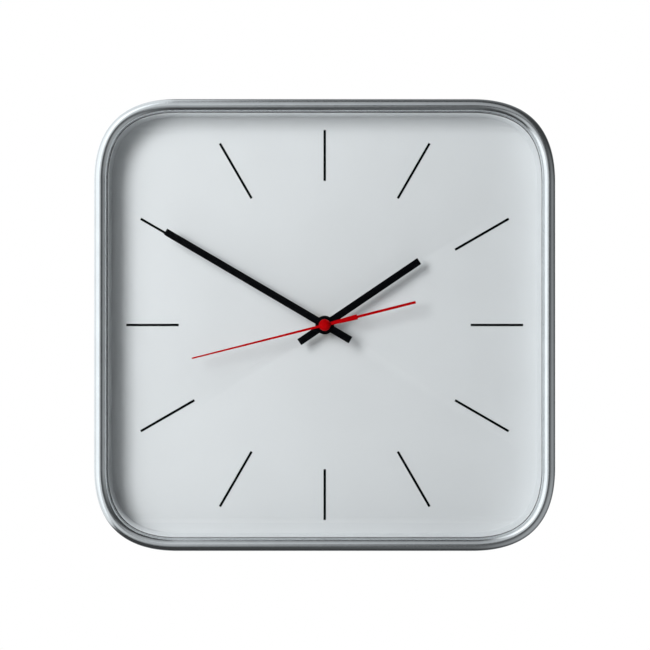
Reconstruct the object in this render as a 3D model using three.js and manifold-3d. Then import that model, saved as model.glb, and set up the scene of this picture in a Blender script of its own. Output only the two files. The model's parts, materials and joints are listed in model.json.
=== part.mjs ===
// Square wall clock with a polished metal rim, a pale dial and a battery movement.
// Millimetres, +Z up. The wall is the plane y = 0 and the clock faces -Y.
// The origin is where the hanging nail meets the wall. All depths are measured
// from the wall towards the room, so a depth of 20 lies at y = -20. Outlines are
// drawn in x and z as seen from the front, with the hand axis at their origin.

import * as THREE from 'three';
import { mergeVertices } from 'three/addons/utils/BufferGeometryUtils.js';
import Module from 'manifold-3d';

const wasm = await Module();
wasm.setup();

// Case
const caseWidth = 300;
const caseHeight = 294;
const cornerReach = 54; // the sides start to bend this far from the corner
const cornerFullness = 0.664; // handle length of the corner curve, as a share of its reach
const cornerSteps = 10;
const metalThickness = 1.4;
const rearFlangeWidth = 5;
const beadOuterWidth = 4.2; // outer edge to the crest
const beadOuterRise = 5;
const beadInnerWidth = 3.2; // crest to the flat lip
const beadInnerRise = 2.6;
const lipWidth = 1.5;
const lipThickness = 1.2;
const slideFit = 0.6; // inner pieces to the inside of the metal rim

// Lens, ring and dial
const gasketThickness = 0.6;
const gasketShow = 0.15; // how far the gasket shows past the lip
const lensThickness = 1.6;
const lensGap = 1; // hands to lens
const ringWall = 1.4;
const ringShow = 0.3; // lip to the visible wall round the dial
const dialThickness = 0.8;
const plateEdgeGap = 0.5; // edges of dial and back shell to the ring

// Hour marks: gap from the outer end to the visible edge of the dial, and length
const markWidth = 1.25;
const markThickness = 0.15;
const marksAt12And6 = { gap: 8.5, length: 33.7 };
const marksAt3And9 = { gap: 9.2, length: 34.8 };
const marksNear12And6 = { gap: 17.4, length: 42.1 };
const marksNear3And9 = { gap: 18.8, length: 41.1 };

// Back shell
const webThickness = 2;
const ribThickness = 1.6;
const ribHeight = 4;
const ribOffset = 15; // straight ribs from the centre lines
const rimRibGap = 1.4; // screw heads to the rib round the edge
const pocketWallHeight = 5;
const pocketGap = 0.4; // round the movement

// Screws
const pilotRadius = 1;
const pilotSpare = 1; // depth left past the screw's tip
const threadPlay = 0.1;
const screwLength = 11;
const screwHeadRadius = 2.4;
const screwHeadHeight = 1.5;
const screwHeadGap = 0.4; // heads to the wall of the ring
const screwHoleRadius = 1.7;
const screwBossWall = 1.6;
const screwSegments = 10;

// Hanger
const hangerInset = 42; // top of the case down to the nail
const hangerWallGap = 0.9; // wall to the heads of the hanger's screws
const hangerPlateThickness = 1.2;
const hangerPlateMargin = 6; // metal left round the keyhole and the screws
const hangerPlateCorner = 3;
const hangerPostWall = 2.2;
const keyholeEntryRadius = 4.5;
const keyholeEntryDrop = 7; // nail seat down to the centre of the entry hole
const keyholeSlotWidth = 5;

// Battery and contacts
const batteryDiameter = 14.5;
const batteryLength = 50.5;
const batteryNubLength = 1.3;
const batteryNubRadius = 2.75;
const batteryEdge = 0.8; // rounding of its ends
const batterySideGap = 0.45;
const batteryFloorGap = 0.15;
const batteryRearGap = 0.55; // below the rear face of the movement
const batteryEndPlay = 0.55; // spare length in the bay, past both contacts
const contactThickness = 0.4;
const contactWidth = 7;
const contactFoot = 5; // below the battery's axis
const contactTouchGap = 0.2;
const contactWallGap = 0.2;
const contactNotch = 0.8; // room round the contacts where they pass the partition
const springHeight = 4.4; // half the height of the bow that presses on the battery
const springFlat = 0.6; // half the height of its flat
const tongueInset = 0.05; // each side of the tongue, from the strip's faces
const tongueDrop = 4;
const tongueGap = 0.1; // tongue to the board

// Movement case
const movementWall = 1.2;
const movementFrontWall = 1;
const movementCornerRadius = 2.5;
const trainGap = 0.75; // largest wheel to the wall of the battery bay
const pivotBossRadius = 1.3;
const pivotBossHeight = 0.8;
const pivotGap = 0.12;
const pivotDepth = 0.8;
const pivotSpare = 0.4; // hole past the pivot's end
const shoulderGap = 0.1;
const pivotSegments = 8;

// Shafts, one inside the other, and the bushing, washer and nut round them
const shaftGap = 0.25;
const secondsArborRadius = 0.5;
const minuteTubeWall = 0.8;
const hourTubeWall = 0.7;
const bushingWall = 1.15;
const bushingFlangeWidth = 1.5;
const bushingFlangeThickness = 1;
const bushingChamfer = 0.4;
const bushingStand = 7; // above the dial
const bushingHoleGap = 0.3;
const threadGap = 0.2;
const washerWidth = 1.7;
const washerThickness = 0.5;
const nutWall = 0.9;
const nutThickness = 2;
const arborRadius = 0.45;
const pivotRadius = 0.35;
const settingArborRadius = 0.6;
const settingArborGap = 0.3;

// Gear train
const rotorTeeth = 6;
const fifthTeeth = 36;
const fifthPinionTeeth = 6;
const secondsTeeth = 30;
const secondsPinionTeeth = 6;
const thirdTeeth = 45;
const thirdPinionTeeth = 6;
const centreTeeth = 48;
const cannonTeeth = 8;
const minuteWheelTeeth = 24;
const minutePinionTeeth = 6;
const hourTeeth = 24;
const rotorDistance = 8.4; // between the axes of each pair of gears
const fifthDistance = 9.6;
const thirdDistance = 10.2;
const minuteDistance = 10.2;
const thirdDirection = Math.PI;
const fifthDirection = THREE.MathUtils.degToRad(10);
const rotorDirection = THREE.MathUtils.degToRad(65);
const minuteDirection = Math.PI / 2;
const addendum = 0.7; // in modules
const dedendum = 1.3;
const toothTip = 0.18; // as a share of the pitch
const wheelThickness = 0.8;
const pinionOverhang = 0.3; // a pinion stands this far past the wheel it drives
const clutchHubWall = 1;
const clutchHubStand = 0.5;
const hubWall = 1;
const hubSink = 0.2; // hubs start this far inside their wheels
const coverGap = 0.7; // pivot bosses to the seconds wheel
const secondsGap = 1; // seconds wheel to third wheel
const bridgeRearGap = 0.8; // third wheel to bridge
const bridgeFrontGap = 0.6; // bridge to centre wheel
const wheelGap = 0.9; // between the wheels in front of the bridge
const rotorBossGap = 0.5; // magnet to its boss
const minuteBossGap = 1; // hour wheel's level to the minute wheel's boss

// Train bridge
const bridgeThickness = 1;
const bridgeReachLeft = 9.8; // past the third wheel's axis
const bridgeReachRight = 13; // past the fifth wheel's axis
const bridgeEdgeGap = 0.4; // to the battery bay
const bridgeCoilGap = 3.6;
const bridgePostInset = 3;
const bridgePostRadius = 1.6;
const bridgePinRadius = 0.8;
const bridgePinStand = 0.5; // pins root this far inside their posts
const pinionHoleGap = 0.5;

// Stepping motor
const magnetRadius = 3;
const magnetThickness = 2;
const statorLift = 1; // bridge to stator
const statorThickness = 0.8;
const statorGap = 0.5;
const statorBand = 2.1;
const statorArmWidth = 3.4;
const statorYokeHeight = 2.6;
const statorYokeSink = 0.5; // arms and neck reach this far into the yoke
const statorPostRadius = 1.4;
const statorPostInset = 1.8;
const yokeReachLeft = 3; // past the coil's core
const yokeReachRight = 6.5;
const yokeCoilGap = 0.3;
const coilRadius = 4.1;
const coilLength = 20;
const coilCentre = -2; // across from the hand axis
const coilGap = 0.4; // minute wheel to the coil's flanges
const coilTopGap = 0.1;
const coreWidth = 3;
const coreThickness = 0.8;
const coreGap = 0.2; // core to the bobbin's slot
const armGapLeft = 1.8; // bobbin to the stator's arms
const armGapRight = 2.8;
const bobbinBarrel = 2.1;
const bobbinFlangeThickness = 0.8;
const bobbinFlangeLip = 0.2;
const windingGap = 0.1;

// Circuit board and crystal
const boardThickness = 0.8;
const boardStand = 0.4; // inside of the case to the board
const boardSideGap = 1;
const boardTopGap = 0.6;
const boardPostGap = 0.4;
const boardHoleGap = 0.2;
const boardFootRadius = 0.8;
const boardFootInset = 1.2;
const boardFootSink = 0.2;
const chipRadius = 2.2;
const chipHeight = 0.9;
const chipInset = 3.4;
const crystalRadius = 1;
const crystalLength = 5.8;
const crystalGap = 0.1;
const crystalInset = 1;
const contactRise = 2.5; // contacts past the lower edge of the board

// Setting knob
const knobRadius = 6;
const knobThickness = 1.4;
const knobGrips = 20;
const knobGripDepth = 0.5;
const knobGap = 0.3; // knob to the movement
const knobWallGap = 0.9;
const knobFloor = 0.5;
const knobFit = 0.1; // round and under the end of its arbor

// Hands, as clockwise angles from twelve in degrees
const hourAngle = 55.9;
const minuteAngle = 300.4;
const secondsAngle = 255.9;
const handThickness = 0.6;
const handFit = 0.1; // bores round their tubes
const handGap = 2.6; // bushing to hour hand
const handSpacing = 1.2; // end of a tube to the next hand
const collarWall = 1;
const collarRear = 0.3; // behind the blade
const hourHandLength = 75;
const hourHandTail = 20.2;
const hourHandWidth = 4.6;
const hourBossRadius = 6.15;
const hourTubeStand = 0.8; // past the hand
const minuteHandTipGap = 16.8; // to the wall round the dial
const minuteHandTail = 19.6;
const minuteHandWidth = 4.85;
const minuteHandTipWidth = 4.6;
const minuteBossRadius = 5.25;
const minuteTubeStand = 0.4;
const secondsHandLength = 89.6;
const secondsHandWidth = 1.5;
const secondsHandTipWidth = 0.8;
const secondsTailLength = 61.4;
const secondsTailWidth = 1.6;
const secondsHandThickness = 0.4;
const secondsHubRadius = 3;
const counterweightLength = 22;
const counterweightWidth = 3.5;
const counterweightRootWidth = 2.2;
const counterweightThickness = 0.5;
const capRadius = 3.9;
const capHeight = 3;
const capSkirt = 0.6;
const capGap = 0.1; // cap to counterweight
const arborInCap = 0.6;
const capBoreSpare = 0.3;

// Radii that follow from the shafts
const minuteTubeBore = secondsArborRadius + shaftGap;
const minuteTubeRadius = minuteTubeBore + minuteTubeWall;
const hourTubeBore = minuteTubeRadius + shaftGap;
const hourTubeRadius = hourTubeBore + hourTubeWall;
const bushingBore = hourTubeRadius + shaftGap;
const bushingRadius = bushingBore + bushingWall;
const threadRadius = bushingRadius + threadGap;

// Axes of the train
const handAxis = new THREE.Vector2(0, 0);
const thirdAxis = polar(thirdDistance, thirdDirection);
const fifthAxis = polar(fifthDistance, fifthDirection);
const rotorAxis = polar(rotorDistance, rotorDirection).add(fifthAxis);
const minuteAxis = polar(minuteDistance, minuteDirection);
const rotorModule = gearModule(rotorDistance, rotorTeeth, fifthTeeth);
const fifthModule = gearModule(fifthDistance, fifthPinionTeeth, secondsTeeth);
const thirdModule = gearModule(thirdDistance, secondsPinionTeeth, thirdTeeth);
const centreModule = gearModule(thirdDistance, thirdPinionTeeth, centreTeeth);
const cannonModule = gearModule(minuteDistance, cannonTeeth, minuteWheelTeeth);
const hourModule = gearModule(minuteDistance, minutePinionTeeth, hourTeeth);

// Levels of the train, each the rear face of a wheel
const knobRear = knobWallGap;
const knobFront = knobRear + knobThickness;
const movementRear = knobFront + knobGap;
const coverFront = movementRear + movementWall;
const pivotShoulder = coverFront + pivotBossHeight + shoulderGap;
const secondsLevel = pivotShoulder + coverGap;
const thirdLevel = secondsLevel + wheelThickness + secondsGap;
const bridgeRear = thirdLevel + wheelThickness + bridgeRearGap;
const bridgeFront = bridgeRear + bridgeThickness;
const centreLevel = bridgeFront + bridgeFrontGap;
const centreFront = centreLevel + wheelThickness;
const motionLevel = centreFront + wheelGap;
const motionFront = motionLevel + wheelThickness;
const hourLevel = motionFront + wheelGap;
const hourFront = hourLevel + wheelThickness;
const minuteBoss = hourFront + minuteBossGap;
const statorRear = bridgeFront + statorLift;
const statorFront = statorRear + statorThickness;
const coreCentre = statorFront + coreThickness / 2;
const magnetFront = statorRear + (statorThickness + magnetThickness) / 2;
const rotorBoss = magnetFront + rotorBossGap;

// The movement is as deep as the battery, the coil or the train, whichever is deepest.
const bobbinFlange = coilRadius + bobbinFlangeLip;
const batteryRear = movementRear + batteryRearGap;
const batteryRoom = batteryRear + batteryDiameter + batteryFloorGap;
const coilRoom = coreCentre + bobbinFlange + boardThickness + boardStand + coilTopGap;
const trainRoom = minuteBoss + pivotDepth + pivotSpare;
const baseInside = Math.max(batteryRoom, coilRoom, trainRoom);
const boardFront = baseInside - boardStand;
const boardRear = boardFront - boardThickness;
const flangeRear = baseInside - bushingFlangeThickness;
const webBack = baseInside + movementFrontWall;
const dialBack = webBack + webThickness;
const dialFront = dialBack + dialThickness;

// Hands, each level the rear face of the blade
const bushingTop = dialFront + bushingStand;
const hourHandLevel = bushingTop + handGap;
const hourTubeTop = hourHandLevel + handThickness + hourTubeStand;
const minuteHandLevel = hourTubeTop + handSpacing;
const minuteTubeTop = minuteHandLevel + handThickness + minuteTubeStand;
const secondsHandLevel = minuteTubeTop + handSpacing;
const secondsHandFront = secondsHandLevel + secondsHandThickness;

// Front of the case
const lensBack = secondsHandFront + capHeight + lensGap;
const lensFront = lensBack + lensThickness;
const lipBack = lensFront + gasketThickness;
const lipFront = lipBack + lipThickness;
const caseDepth = lipFront + beadInnerRise;

// Insets from the outer edge of the case
const lipInset = beadOuterWidth + beadInnerWidth + lipWidth;
const innerInset = metalThickness + slideFit;
const ringInset = lipInset + ringShow;
const plateInset = innerInset + ringWall + plateEdgeGap;
const caseScrewInset = innerInset + ringWall + screwHeadGap + screwHeadRadius;
const rimRibInset = caseScrewInset + screwHeadRadius + rimRibGap;

// The battery bay lies across the bottom of the movement and the coil across the top.
const largestWheel = Math.max(
  tipRadius(thirdTeeth, thirdModule),
  tipRadius(centreTeeth, centreModule),
  tipRadius(hourTeeth, hourModule),
);
const bayWallTop = -largestWheel - trainGap;
const bayTop = bayWallTop - movementWall;
const bayBottom = bayTop - batteryDiameter - 2 * batterySideGap;
const movementBottom = bayBottom - movementWall;
const coilBottom = minuteAxis.y + tipRadius(minuteWheelTeeth, cannonModule) + coilGap;
const coilHeight = coilBottom + bobbinFlange;
const innerTop = coilHeight + bobbinFlange + coilTopGap;
const movementTop = innerTop + movementWall;
const contactRoom = contactWallGap + contactThickness + contactTouchGap;
const innerHalfWidth = batteryLength / 2 + contactRoom + batteryEndPlay + contactTouchGap;
const movementHalfWidth = innerHalfWidth + movementWall;

const batteryAxisDepth = batteryRear + batteryDiameter / 2;
const batteryAxisHeight = (bayTop + bayBottom) / 2;
const batteryEnd = innerHalfWidth - contactRoom;
const batteryStart = batteryEnd - batteryLength;
const contactStrip = innerHalfWidth - contactWallGap - contactThickness / 2;

const bridgeLeft = thirdAxis.x - bridgeReachLeft;
const bridgeRight = fifthAxis.x + bridgeReachRight;
const bridgeBottom = bayWallTop + bridgeEdgeGap;
const bridgeTop = coilBottom - bridgeCoilGap;
const bridgePosts = [
  new THREE.Vector2(bridgeLeft + bridgePostInset, bridgeTop - bridgePostInset),
  new THREE.Vector2(bridgeLeft + bridgePostInset, bridgeBottom + bridgePostInset),
  new THREE.Vector2(bridgeRight - bridgePostInset, bridgeBottom + bridgePostInset),
];

const coilStart = coilCentre - coilLength / 2;
const coilEnd = coilCentre + coilLength / 2;
const bobbinStart = coilStart - bobbinFlangeThickness;
const bobbinEnd = coilEnd + bobbinFlangeThickness;
const coreStart = bobbinStart - armGapLeft - statorArmWidth;
const coreEnd = bobbinEnd + armGapRight + statorArmWidth;
const yokeStart = coreStart - yokeReachLeft;
const yokeEnd = coreEnd + yokeReachRight;
const yokeTop = coilBottom - yokeCoilGap;
const yokeBottom = yokeTop - statorYokeHeight;
const statorPosts = [yokeStart + statorPostInset, yokeEnd - statorPostInset].map((x) => (
  new THREE.Vector2(x, yokeTop - statorPostRadius / 2)
));

const boardBottom = bridgePosts[0].y + bridgePostRadius + boardPostGap;
const boardTop = innerTop - boardTopGap;
const boardHalfWidth = innerHalfWidth - boardSideGap;
const contactTop = boardBottom + contactRise;

const hangerHeight = caseHeight / 2 - hangerInset;
const hangerPlateRear = hangerWallGap + screwHeadHeight;
const hangerPlateFront = hangerPlateRear + hangerPlateThickness;
const hangerScrewPlaces = [-ribOffset, ribOffset].map((x) => new THREE.Vector2(x, hangerHeight));

function polar(radius, angle) {
  return new THREE.Vector2(radius * Math.cos(angle), radius * Math.sin(angle));
}

function gearModule(distance, pinionTeeth, wheelTeeth) {
  return (2 * distance) / (pinionTeeth + wheelTeeth);
}

function tipRadius(teeth, module) {
  return module * (teeth / 2 + addendum);
}

// Geometry as closed solids

function outward(geometry) {
  const corner = [new THREE.Vector3(), new THREE.Vector3(), new THREE.Vector3()];
  const index = Array.from(geometry.index.array);
  let volume = 0;
  for (let i = 0; i < index.length; i += 3) {
    corner.forEach((point, k) => point.fromBufferAttribute(geometry.attributes.position, index[i + k]));
    volume += corner[0].dot(corner[1].clone().cross(corner[2]));
  }
  if (volume < 0) {
    for (let i = 0; i < index.length; i += 3) {
      [index[i + 1], index[i + 2]] = [index[i + 2], index[i + 1]];
    }
    geometry.setIndex(index);
  }
  return geometry;
}

// Merges shared vertices, drops triangles without area and turns the faces outward.
function cleaned(geometry) {
  const bare = new THREE.BufferGeometry();
  bare.setAttribute('position', geometry.attributes.position.clone());
  if (geometry.index) bare.setIndex(Array.from(geometry.index.array));
  const merged = mergeVertices(bare, 1e-5);
  const index = merged.index.array;
  const kept = [];
  for (let i = 0; i < index.length; i += 3) {
    const [a, b, c] = [index[i], index[i + 1], index[i + 2]];
    if (a !== b && b !== c && c !== a) kept.push(a, b, c);
  }
  merged.setIndex(kept);
  return outward(merged);
}

function toSolid(geometry) {
  const clean = cleaned(geometry);
  return new wasm.Manifold(new wasm.Mesh({
    numProp: 3,
    vertProperties: Float32Array.from(clean.attributes.position.array),
    triVerts: Uint32Array.from(clean.index.array),
  }));
}

function join(pieces, cuts = []) {
  let solid = toSolid(pieces[0]);
  for (const piece of pieces.slice(1)) solid = solid.add(toSolid(piece));
  for (const cut of cuts) solid = solid.subtract(toSolid(cut));
  const mesh = solid.getMesh();
  const geometry = new THREE.BufferGeometry();
  geometry.setAttribute('position', new THREE.BufferAttribute(mesh.vertProperties, mesh.numProp));
  geometry.setIndex(new THREE.BufferAttribute(mesh.triVerts, 1));
  return geometry;
}

// Outlines

// A point on one corner of the case, moved in from the outer edge by the inset.
// The corner of the bounding square is at 0, 0 and the case lies at positive x and z.
function cornerPoint(share, inset) {
  const handle = cornerReach * (1 - cornerFullness);
  const curve = new THREE.CubicBezierCurve(
    new THREE.Vector2(0, cornerReach),
    new THREE.Vector2(0, handle),
    new THREE.Vector2(handle, 0),
    new THREE.Vector2(cornerReach, 0),
  );
  const tangent = curve.getTangent(share);
  return curve.getPoint(share).add(new THREE.Vector2(-tangent.y, tangent.x).multiplyScalar(inset));
}

function fromCorner(point, sideX, sideZ) {
  return new THREE.Vector2(sideX * (caseWidth / 2 - point.x), sideZ * (caseHeight / 2 - point.y));
}

function caseOutline(inset) {
  const quarter = [];
  for (let i = 0; i <= cornerSteps; i += 1) quarter.push(cornerPoint(i / cornerSteps, inset));
  const back = [...quarter].reverse();
  return [
    ...quarter.map((point) => fromCorner(point, -1, -1)),
    ...back.map((point) => fromCorner(point, 1, -1)),
    ...quarter.map((point) => fromCorner(point, 1, 1)),
    ...back.map((point) => fromCorner(point, -1, 1)),
  ];
}

function caseCorners(inset) {
  const middle = cornerPoint(0.5, inset);
  return [[-1, -1], [1, -1], [1, 1], [-1, 1]].map(([x, z]) => fromCorner(middle, x, z));
}

function circle(radius, segments = 16, centre = handAxis) {
  const points = [];
  for (let i = 0; i < segments; i += 1) {
    points.push(polar(radius, (2 * Math.PI * i) / segments).add(centre));
  }
  return points;
}

function rectangle(left, right, bottom, top) {
  return [
    new THREE.Vector2(left, bottom),
    new THREE.Vector2(right, bottom),
    new THREE.Vector2(right, top),
    new THREE.Vector2(left, top),
  ];
}

function roundedRectangle(left, right, bottom, top, radius, steps = 3) {
  const inner = rectangle(left + radius, right - radius, bottom + radius, top - radius);
  const points = [];
  inner.forEach((centre, corner) => {
    for (let i = 0; i <= steps; i += 1) {
      points.push(polar(radius, (Math.PI / 2) * (corner + 2 + i / steps)).add(centre));
    }
  });
  return points;
}

// Teeth with flat tips and V-shaped gaps.
function gearOutline(teeth, module, phase) {
  const pitch = (2 * Math.PI) / teeth;
  const tip = tipRadius(teeth, module);
  const root = module * (teeth / 2 - dedendum);
  const points = [];
  for (let i = 0; i < teeth; i += 1) {
    const middle = phase + i * pitch;
    points.push(polar(tip, middle - (toothTip * pitch) / 2));
    points.push(polar(tip, middle + (toothTip * pitch) / 2));
    points.push(polar(root, middle + pitch / 2));
  }
  return points;
}

// The phase that puts a gear in mesh with one that is already placed.
function meshedPhase(placedTeeth, placedPhase, teeth, direction) {
  return direction + Math.PI + Math.PI / teeth + ((direction - placedPhase) * placedTeeth) / teeth;
}

// Solids from outlines and profiles

function plate(outline, rear, front, holes = []) {
  const shape = new THREE.Shape(outline);
  shape.holes = holes.map((hole) => new THREE.Path(hole));
  const geometry = new THREE.ExtrudeGeometry(shape, { depth: front - rear, bevelEnabled: false });
  geometry.translate(0, 0, rear);
  geometry.rotateX(Math.PI / 2);
  return geometry;
}

function block(left, right, rear, front, bottom, top) {
  return plate(rectangle(left, right, bottom, top), rear, front);
}

function disc(radius, rear, front, centre = handAxis, segments = 16) {
  return plate(circle(radius, segments, centre), rear, front);
}

// Revolves points given as [radius, depth] round an axis that runs from the wall to the room.
function turned(profile, segments = 20) {
  const points = profile.map(([radius, depth]) => new THREE.Vector2(radius, depth));
  const geometry = new THREE.LatheGeometry(points, segments);
  geometry.rotateX(Math.PI);
  return geometry;
}

function tube(bore, radius, rear, front, segments = 16) {
  return turned([[bore, rear], [radius, rear], [radius, front], [bore, front], [bore, rear]], segments);
}

// Sweeps a closed profile of [inset, depth] points round the case.
function bandRoundCase(profile) {
  const loops = profile.map(([inset, depth]) => caseOutline(inset).map((p) => [p.x, -depth, p.y]));
  const stations = loops[0].length;
  const index = [];
  for (let row = 0; row < loops.length; row += 1) {
    const next = (row + 1) % loops.length;
    for (let i = 0; i < stations; i += 1) {
      const j = (i + 1) % stations;
      const [a, b] = [row * stations + i, row * stations + j];
      const [c, d] = [next * stations + j, next * stations + i];
      index.push(a, b, c, a, c, d);
    }
  }
  const geometry = new THREE.BufferGeometry();
  geometry.setAttribute('position', new THREE.Float32BufferAttribute(loops.flat(2), 3));
  geometry.setIndex(index);
  return geometry;
}

function ellipseArc(centre, radii, fromDegrees, toDegrees, steps) {
  const points = [];
  for (let i = 0; i <= steps; i += 1) {
    const angle = THREE.MathUtils.degToRad(fromDegrees + ((toDegrees - fromDegrees) * i) / steps);
    points.push([centre[0] + radii[0] * Math.cos(angle), centre[1] + radii[1] * Math.sin(angle)]);
  }
  return points;
}

// Materials

const finishes = {
  rimMetal: { color: 0xb9bec2, metalness: 1, roughness: 0.3 },
  seal: { color: 0x17191b, metalness: 0, roughness: 0.8 },
  glass: { color: 0xf4f8f9, metalness: 0, roughness: 0.05, transparent: true, opacity: 0.15 },
  palePlastic: { color: 0xd9dddf, metalness: 0, roughness: 0.5 },
  dialPaint: { color: 0xd7dbde, metalness: 0.2, roughness: 0.55 },
  blackInk: { color: 0x0a0f12, metalness: 0, roughness: 0.6 },
  shellPlastic: { color: 0x2a2c2e, metalness: 0, roughness: 0.6 },
  steel: { color: 0xa9adb0, metalness: 1, roughness: 0.35 },
  movementPlastic: { color: 0x1c1d1f, metalness: 0, roughness: 0.5 },
  brass: { color: 0xc9a552, metalness: 1, roughness: 0.35 },
  gearPlastic: { color: 0xe6e2d3, metalness: 0, roughness: 0.45 },
  magnet: { color: 0x5d5a57, metalness: 0.6, roughness: 0.5 },
  copper: { color: 0xb4602f, metalness: 0.9, roughness: 0.4 },
  board: { color: 0x2f6b3f, metalness: 0, roughness: 0.5 },
  batteryJacket: { color: 0x3b4046, metalness: 0.3, roughness: 0.4 },
  handBlack: { color: 0x08090b, metalness: 0, roughness: 0.5 },
  signalRed: { color: 0xc0060c, metalness: 0, roughness: 0.4 },
};

function piece(name, geometry, finish) {
  const mesh = new THREE.Mesh(cleaned(geometry), new THREE.MeshStandardMaterial(finishes[finish]));
  mesh.name = name;
  return mesh;
}

function onAxis(axis, mesh) {
  mesh.position.set(axis.x, 0, axis.y);
  return mesh;
}

// Lays a turned piece along the X axis, so that the depths of its profile become x.
function alongX(depth, height, mesh) {
  mesh.rotation.z = Math.PI / 2;
  mesh.position.set(0, -depth, height);
  return mesh;
}

function clockwise(degrees, mesh) {
  mesh.rotation.y = THREE.MathUtils.degToRad(degrees);
  return mesh;
}

// Case and dial

function makeBezelFrame() {
  const outerCentre = [beadOuterWidth, caseDepth - beadOuterRise];
  const innerCentre = [beadOuterWidth, lipFront];
  const profile = [
    [0, 0],
    ...ellipseArc(outerCentre, [beadOuterWidth, beadOuterRise], 180, 90, 6),
    ...ellipseArc(innerCentre, [beadInnerWidth, beadInnerRise], 90, 0, 4).slice(1),
    [lipInset, lipFront],
    [lipInset, lipBack],
    [lipInset - lipWidth - metalThickness, lipBack],
    [beadOuterWidth, caseDepth - metalThickness],
    [metalThickness, lipBack],
    [metalThickness, metalThickness],
    [rearFlangeWidth, metalThickness],
    [rearFlangeWidth, 0],
  ];
  return piece('bezel_frame', bandRoundCase(profile), 'rimMetal');
}

function makeGasket() {
  const inner = lipInset + gasketShow;
  const profile = [[innerInset, lensFront], [innerInset, lipBack], [inner, lipBack], [inner, lensFront]];
  return piece('lens_gasket', bandRoundCase(profile), 'seal');
}

function makeLens() {
  return piece('lens', plate(caseOutline(innerInset), lensBack, lensFront), 'glass');
}

// A channel open to the rear: outer wall held by the rear flange, land under the
// lens, and inner wall that stands on the dial. The screw bosses stand in the channel.
function makeDialRing() {
  const landBack = lensBack - ringWall;
  const profile = [
    [innerInset, metalThickness],
    [innerInset, lensBack],
    [ringInset, lensBack],
    [ringInset, dialFront],
    [ringInset - ringWall, dialFront],
    [ringInset - ringWall, landBack],
    [innerInset + ringWall, landBack],
    [innerInset + ringWall, metalThickness],
  ];
  const corners = caseCorners(caseScrewInset);
  const bossTop = lensBack - ringWall / 2;
  const pilotEnd = webBack + screwLength + pilotSpare;
  const bosses = corners.map((p) => disc(pilotRadius + screwBossWall, dialFront, bossTop, p, 12));
  const pilots = corners.map((p) => disc(pilotRadius, dialBack, pilotEnd, p, screwSegments));
  return piece('dial_ring', join([bandRoundCase(profile), ...bosses], pilots), 'palePlastic');
}

// The dial and the shell's web share their outline and their holes.
function clampedPlate(rear, front) {
  const screwHoles = caseCorners(caseScrewInset).map((p) => circle(screwHoleRadius, 12, p));
  return plate(caseOutline(plateInset), rear, front, [...screwHoles, circle(bushingRadius + bushingHoleGap)]);
}

function makeDial() {
  return piece('dial', clampedPlate(dialBack, dialFront), 'dialPaint');
}

// Each mark lies on a radius. Its outer end keeps the stated gap to the nearer
// edge of the visible dial: top or bottom, or left or right.
function hourMarkSpan(hour) {
  const towardTopOrBottom = [0, 1, 5].includes(hour % 6);
  const square = hour % 3 === 0;
  const vertical = square ? marksAt12And6 : marksNear12And6;
  const horizontal = square ? marksAt3And9 : marksNear3And9;
  const { gap, length } = towardTopOrBottom ? vertical : horizontal;
  const edge = (towardTopOrBottom ? caseHeight : caseWidth) / 2 - ringInset;
  const outerEnd = (edge - gap) / Math.cos(square ? 0 : Math.PI / 6);
  return [outerEnd - length, outerEnd];
}

function makeHourMark(hour) {
  const name = `hour_mark_${String(hour).padStart(2, '0')}`;
  const half = markWidth / 2;
  const bar = block(-half, half, dialFront, dialFront + markThickness, ...hourMarkSpan(hour));
  return clockwise(30 * hour, piece(name, bar, 'blackInk'));
}

// Back shell and hanger

function ribBetween(start, end, rear, front) {
  const along = end.clone().sub(start);
  const rib = block(0, along.length(), rear, front, -ribThickness / 2, ribThickness / 2);
  rib.rotateY(-along.angle());
  rib.translate(start.x, 0, start.y);
  return rib;
}

function makeBackShell() {
  const seat = webBack + webThickness / 2; // the ribs reach into the web
  const ribRear = webBack - ribHeight;
  const half = ribThickness / 2;
  const [left, right] = [-movementHalfWidth - pocketGap, movementHalfWidth + pocketGap];
  const [bottom, top] = [movementBottom - pocketGap, movementTop + pocketGap];
  const rimRib = plate(caseOutline(rimRibInset), ribRear, seat, [caseOutline(rimRibInset + ribThickness)]);
  const pocketWall = plate(
    rectangle(left - ribThickness, right + ribThickness, bottom - ribThickness, top + ribThickness),
    webBack - pocketWallHeight,
    seat,
    [rectangle(left, right, bottom, top)],
  );
  const reachX = caseWidth / 2 - rimRibInset - half;
  const reachZ = caseHeight / 2 - rimRibInset - half;
  const ribs = [];
  for (const offset of [-ribOffset, ribOffset]) {
    ribs.push(block(-reachX, left - half, ribRear, seat, offset - half, offset + half));
    ribs.push(block(right + half, reachX, ribRear, seat, offset - half, offset + half));
    ribs.push(block(offset - half, offset + half, ribRear, seat, -reachZ, bottom - half));
    ribs.push(block(offset - half, offset + half, ribRear, seat, top + half, reachZ));
  }
  const pocketCorners = rectangle(left - half, right + half, bottom - half, top + half);
  caseCorners(rimRibInset + half).forEach((corner, i) => {
    ribs.push(ribBetween(pocketCorners[i], corner, ribRear, seat));
  });
  const postRadius = pilotRadius + hangerPostWall;
  const pilotEnd = hangerPlateRear + screwLength + pilotSpare;
  const posts = hangerScrewPlaces.map((p) => disc(postRadius, hangerPlateFront, seat, p));
  const pilots = hangerScrewPlaces.map((p) => disc(pilotRadius, hangerPlateRear, pilotEnd, p, screwSegments));
  const solids = [clampedPlate(webBack, dialBack), rimRib, pocketWall, ...ribs, ...posts];
  return piece('back_shell', join(solids, pilots), 'shellPlastic');
}

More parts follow.
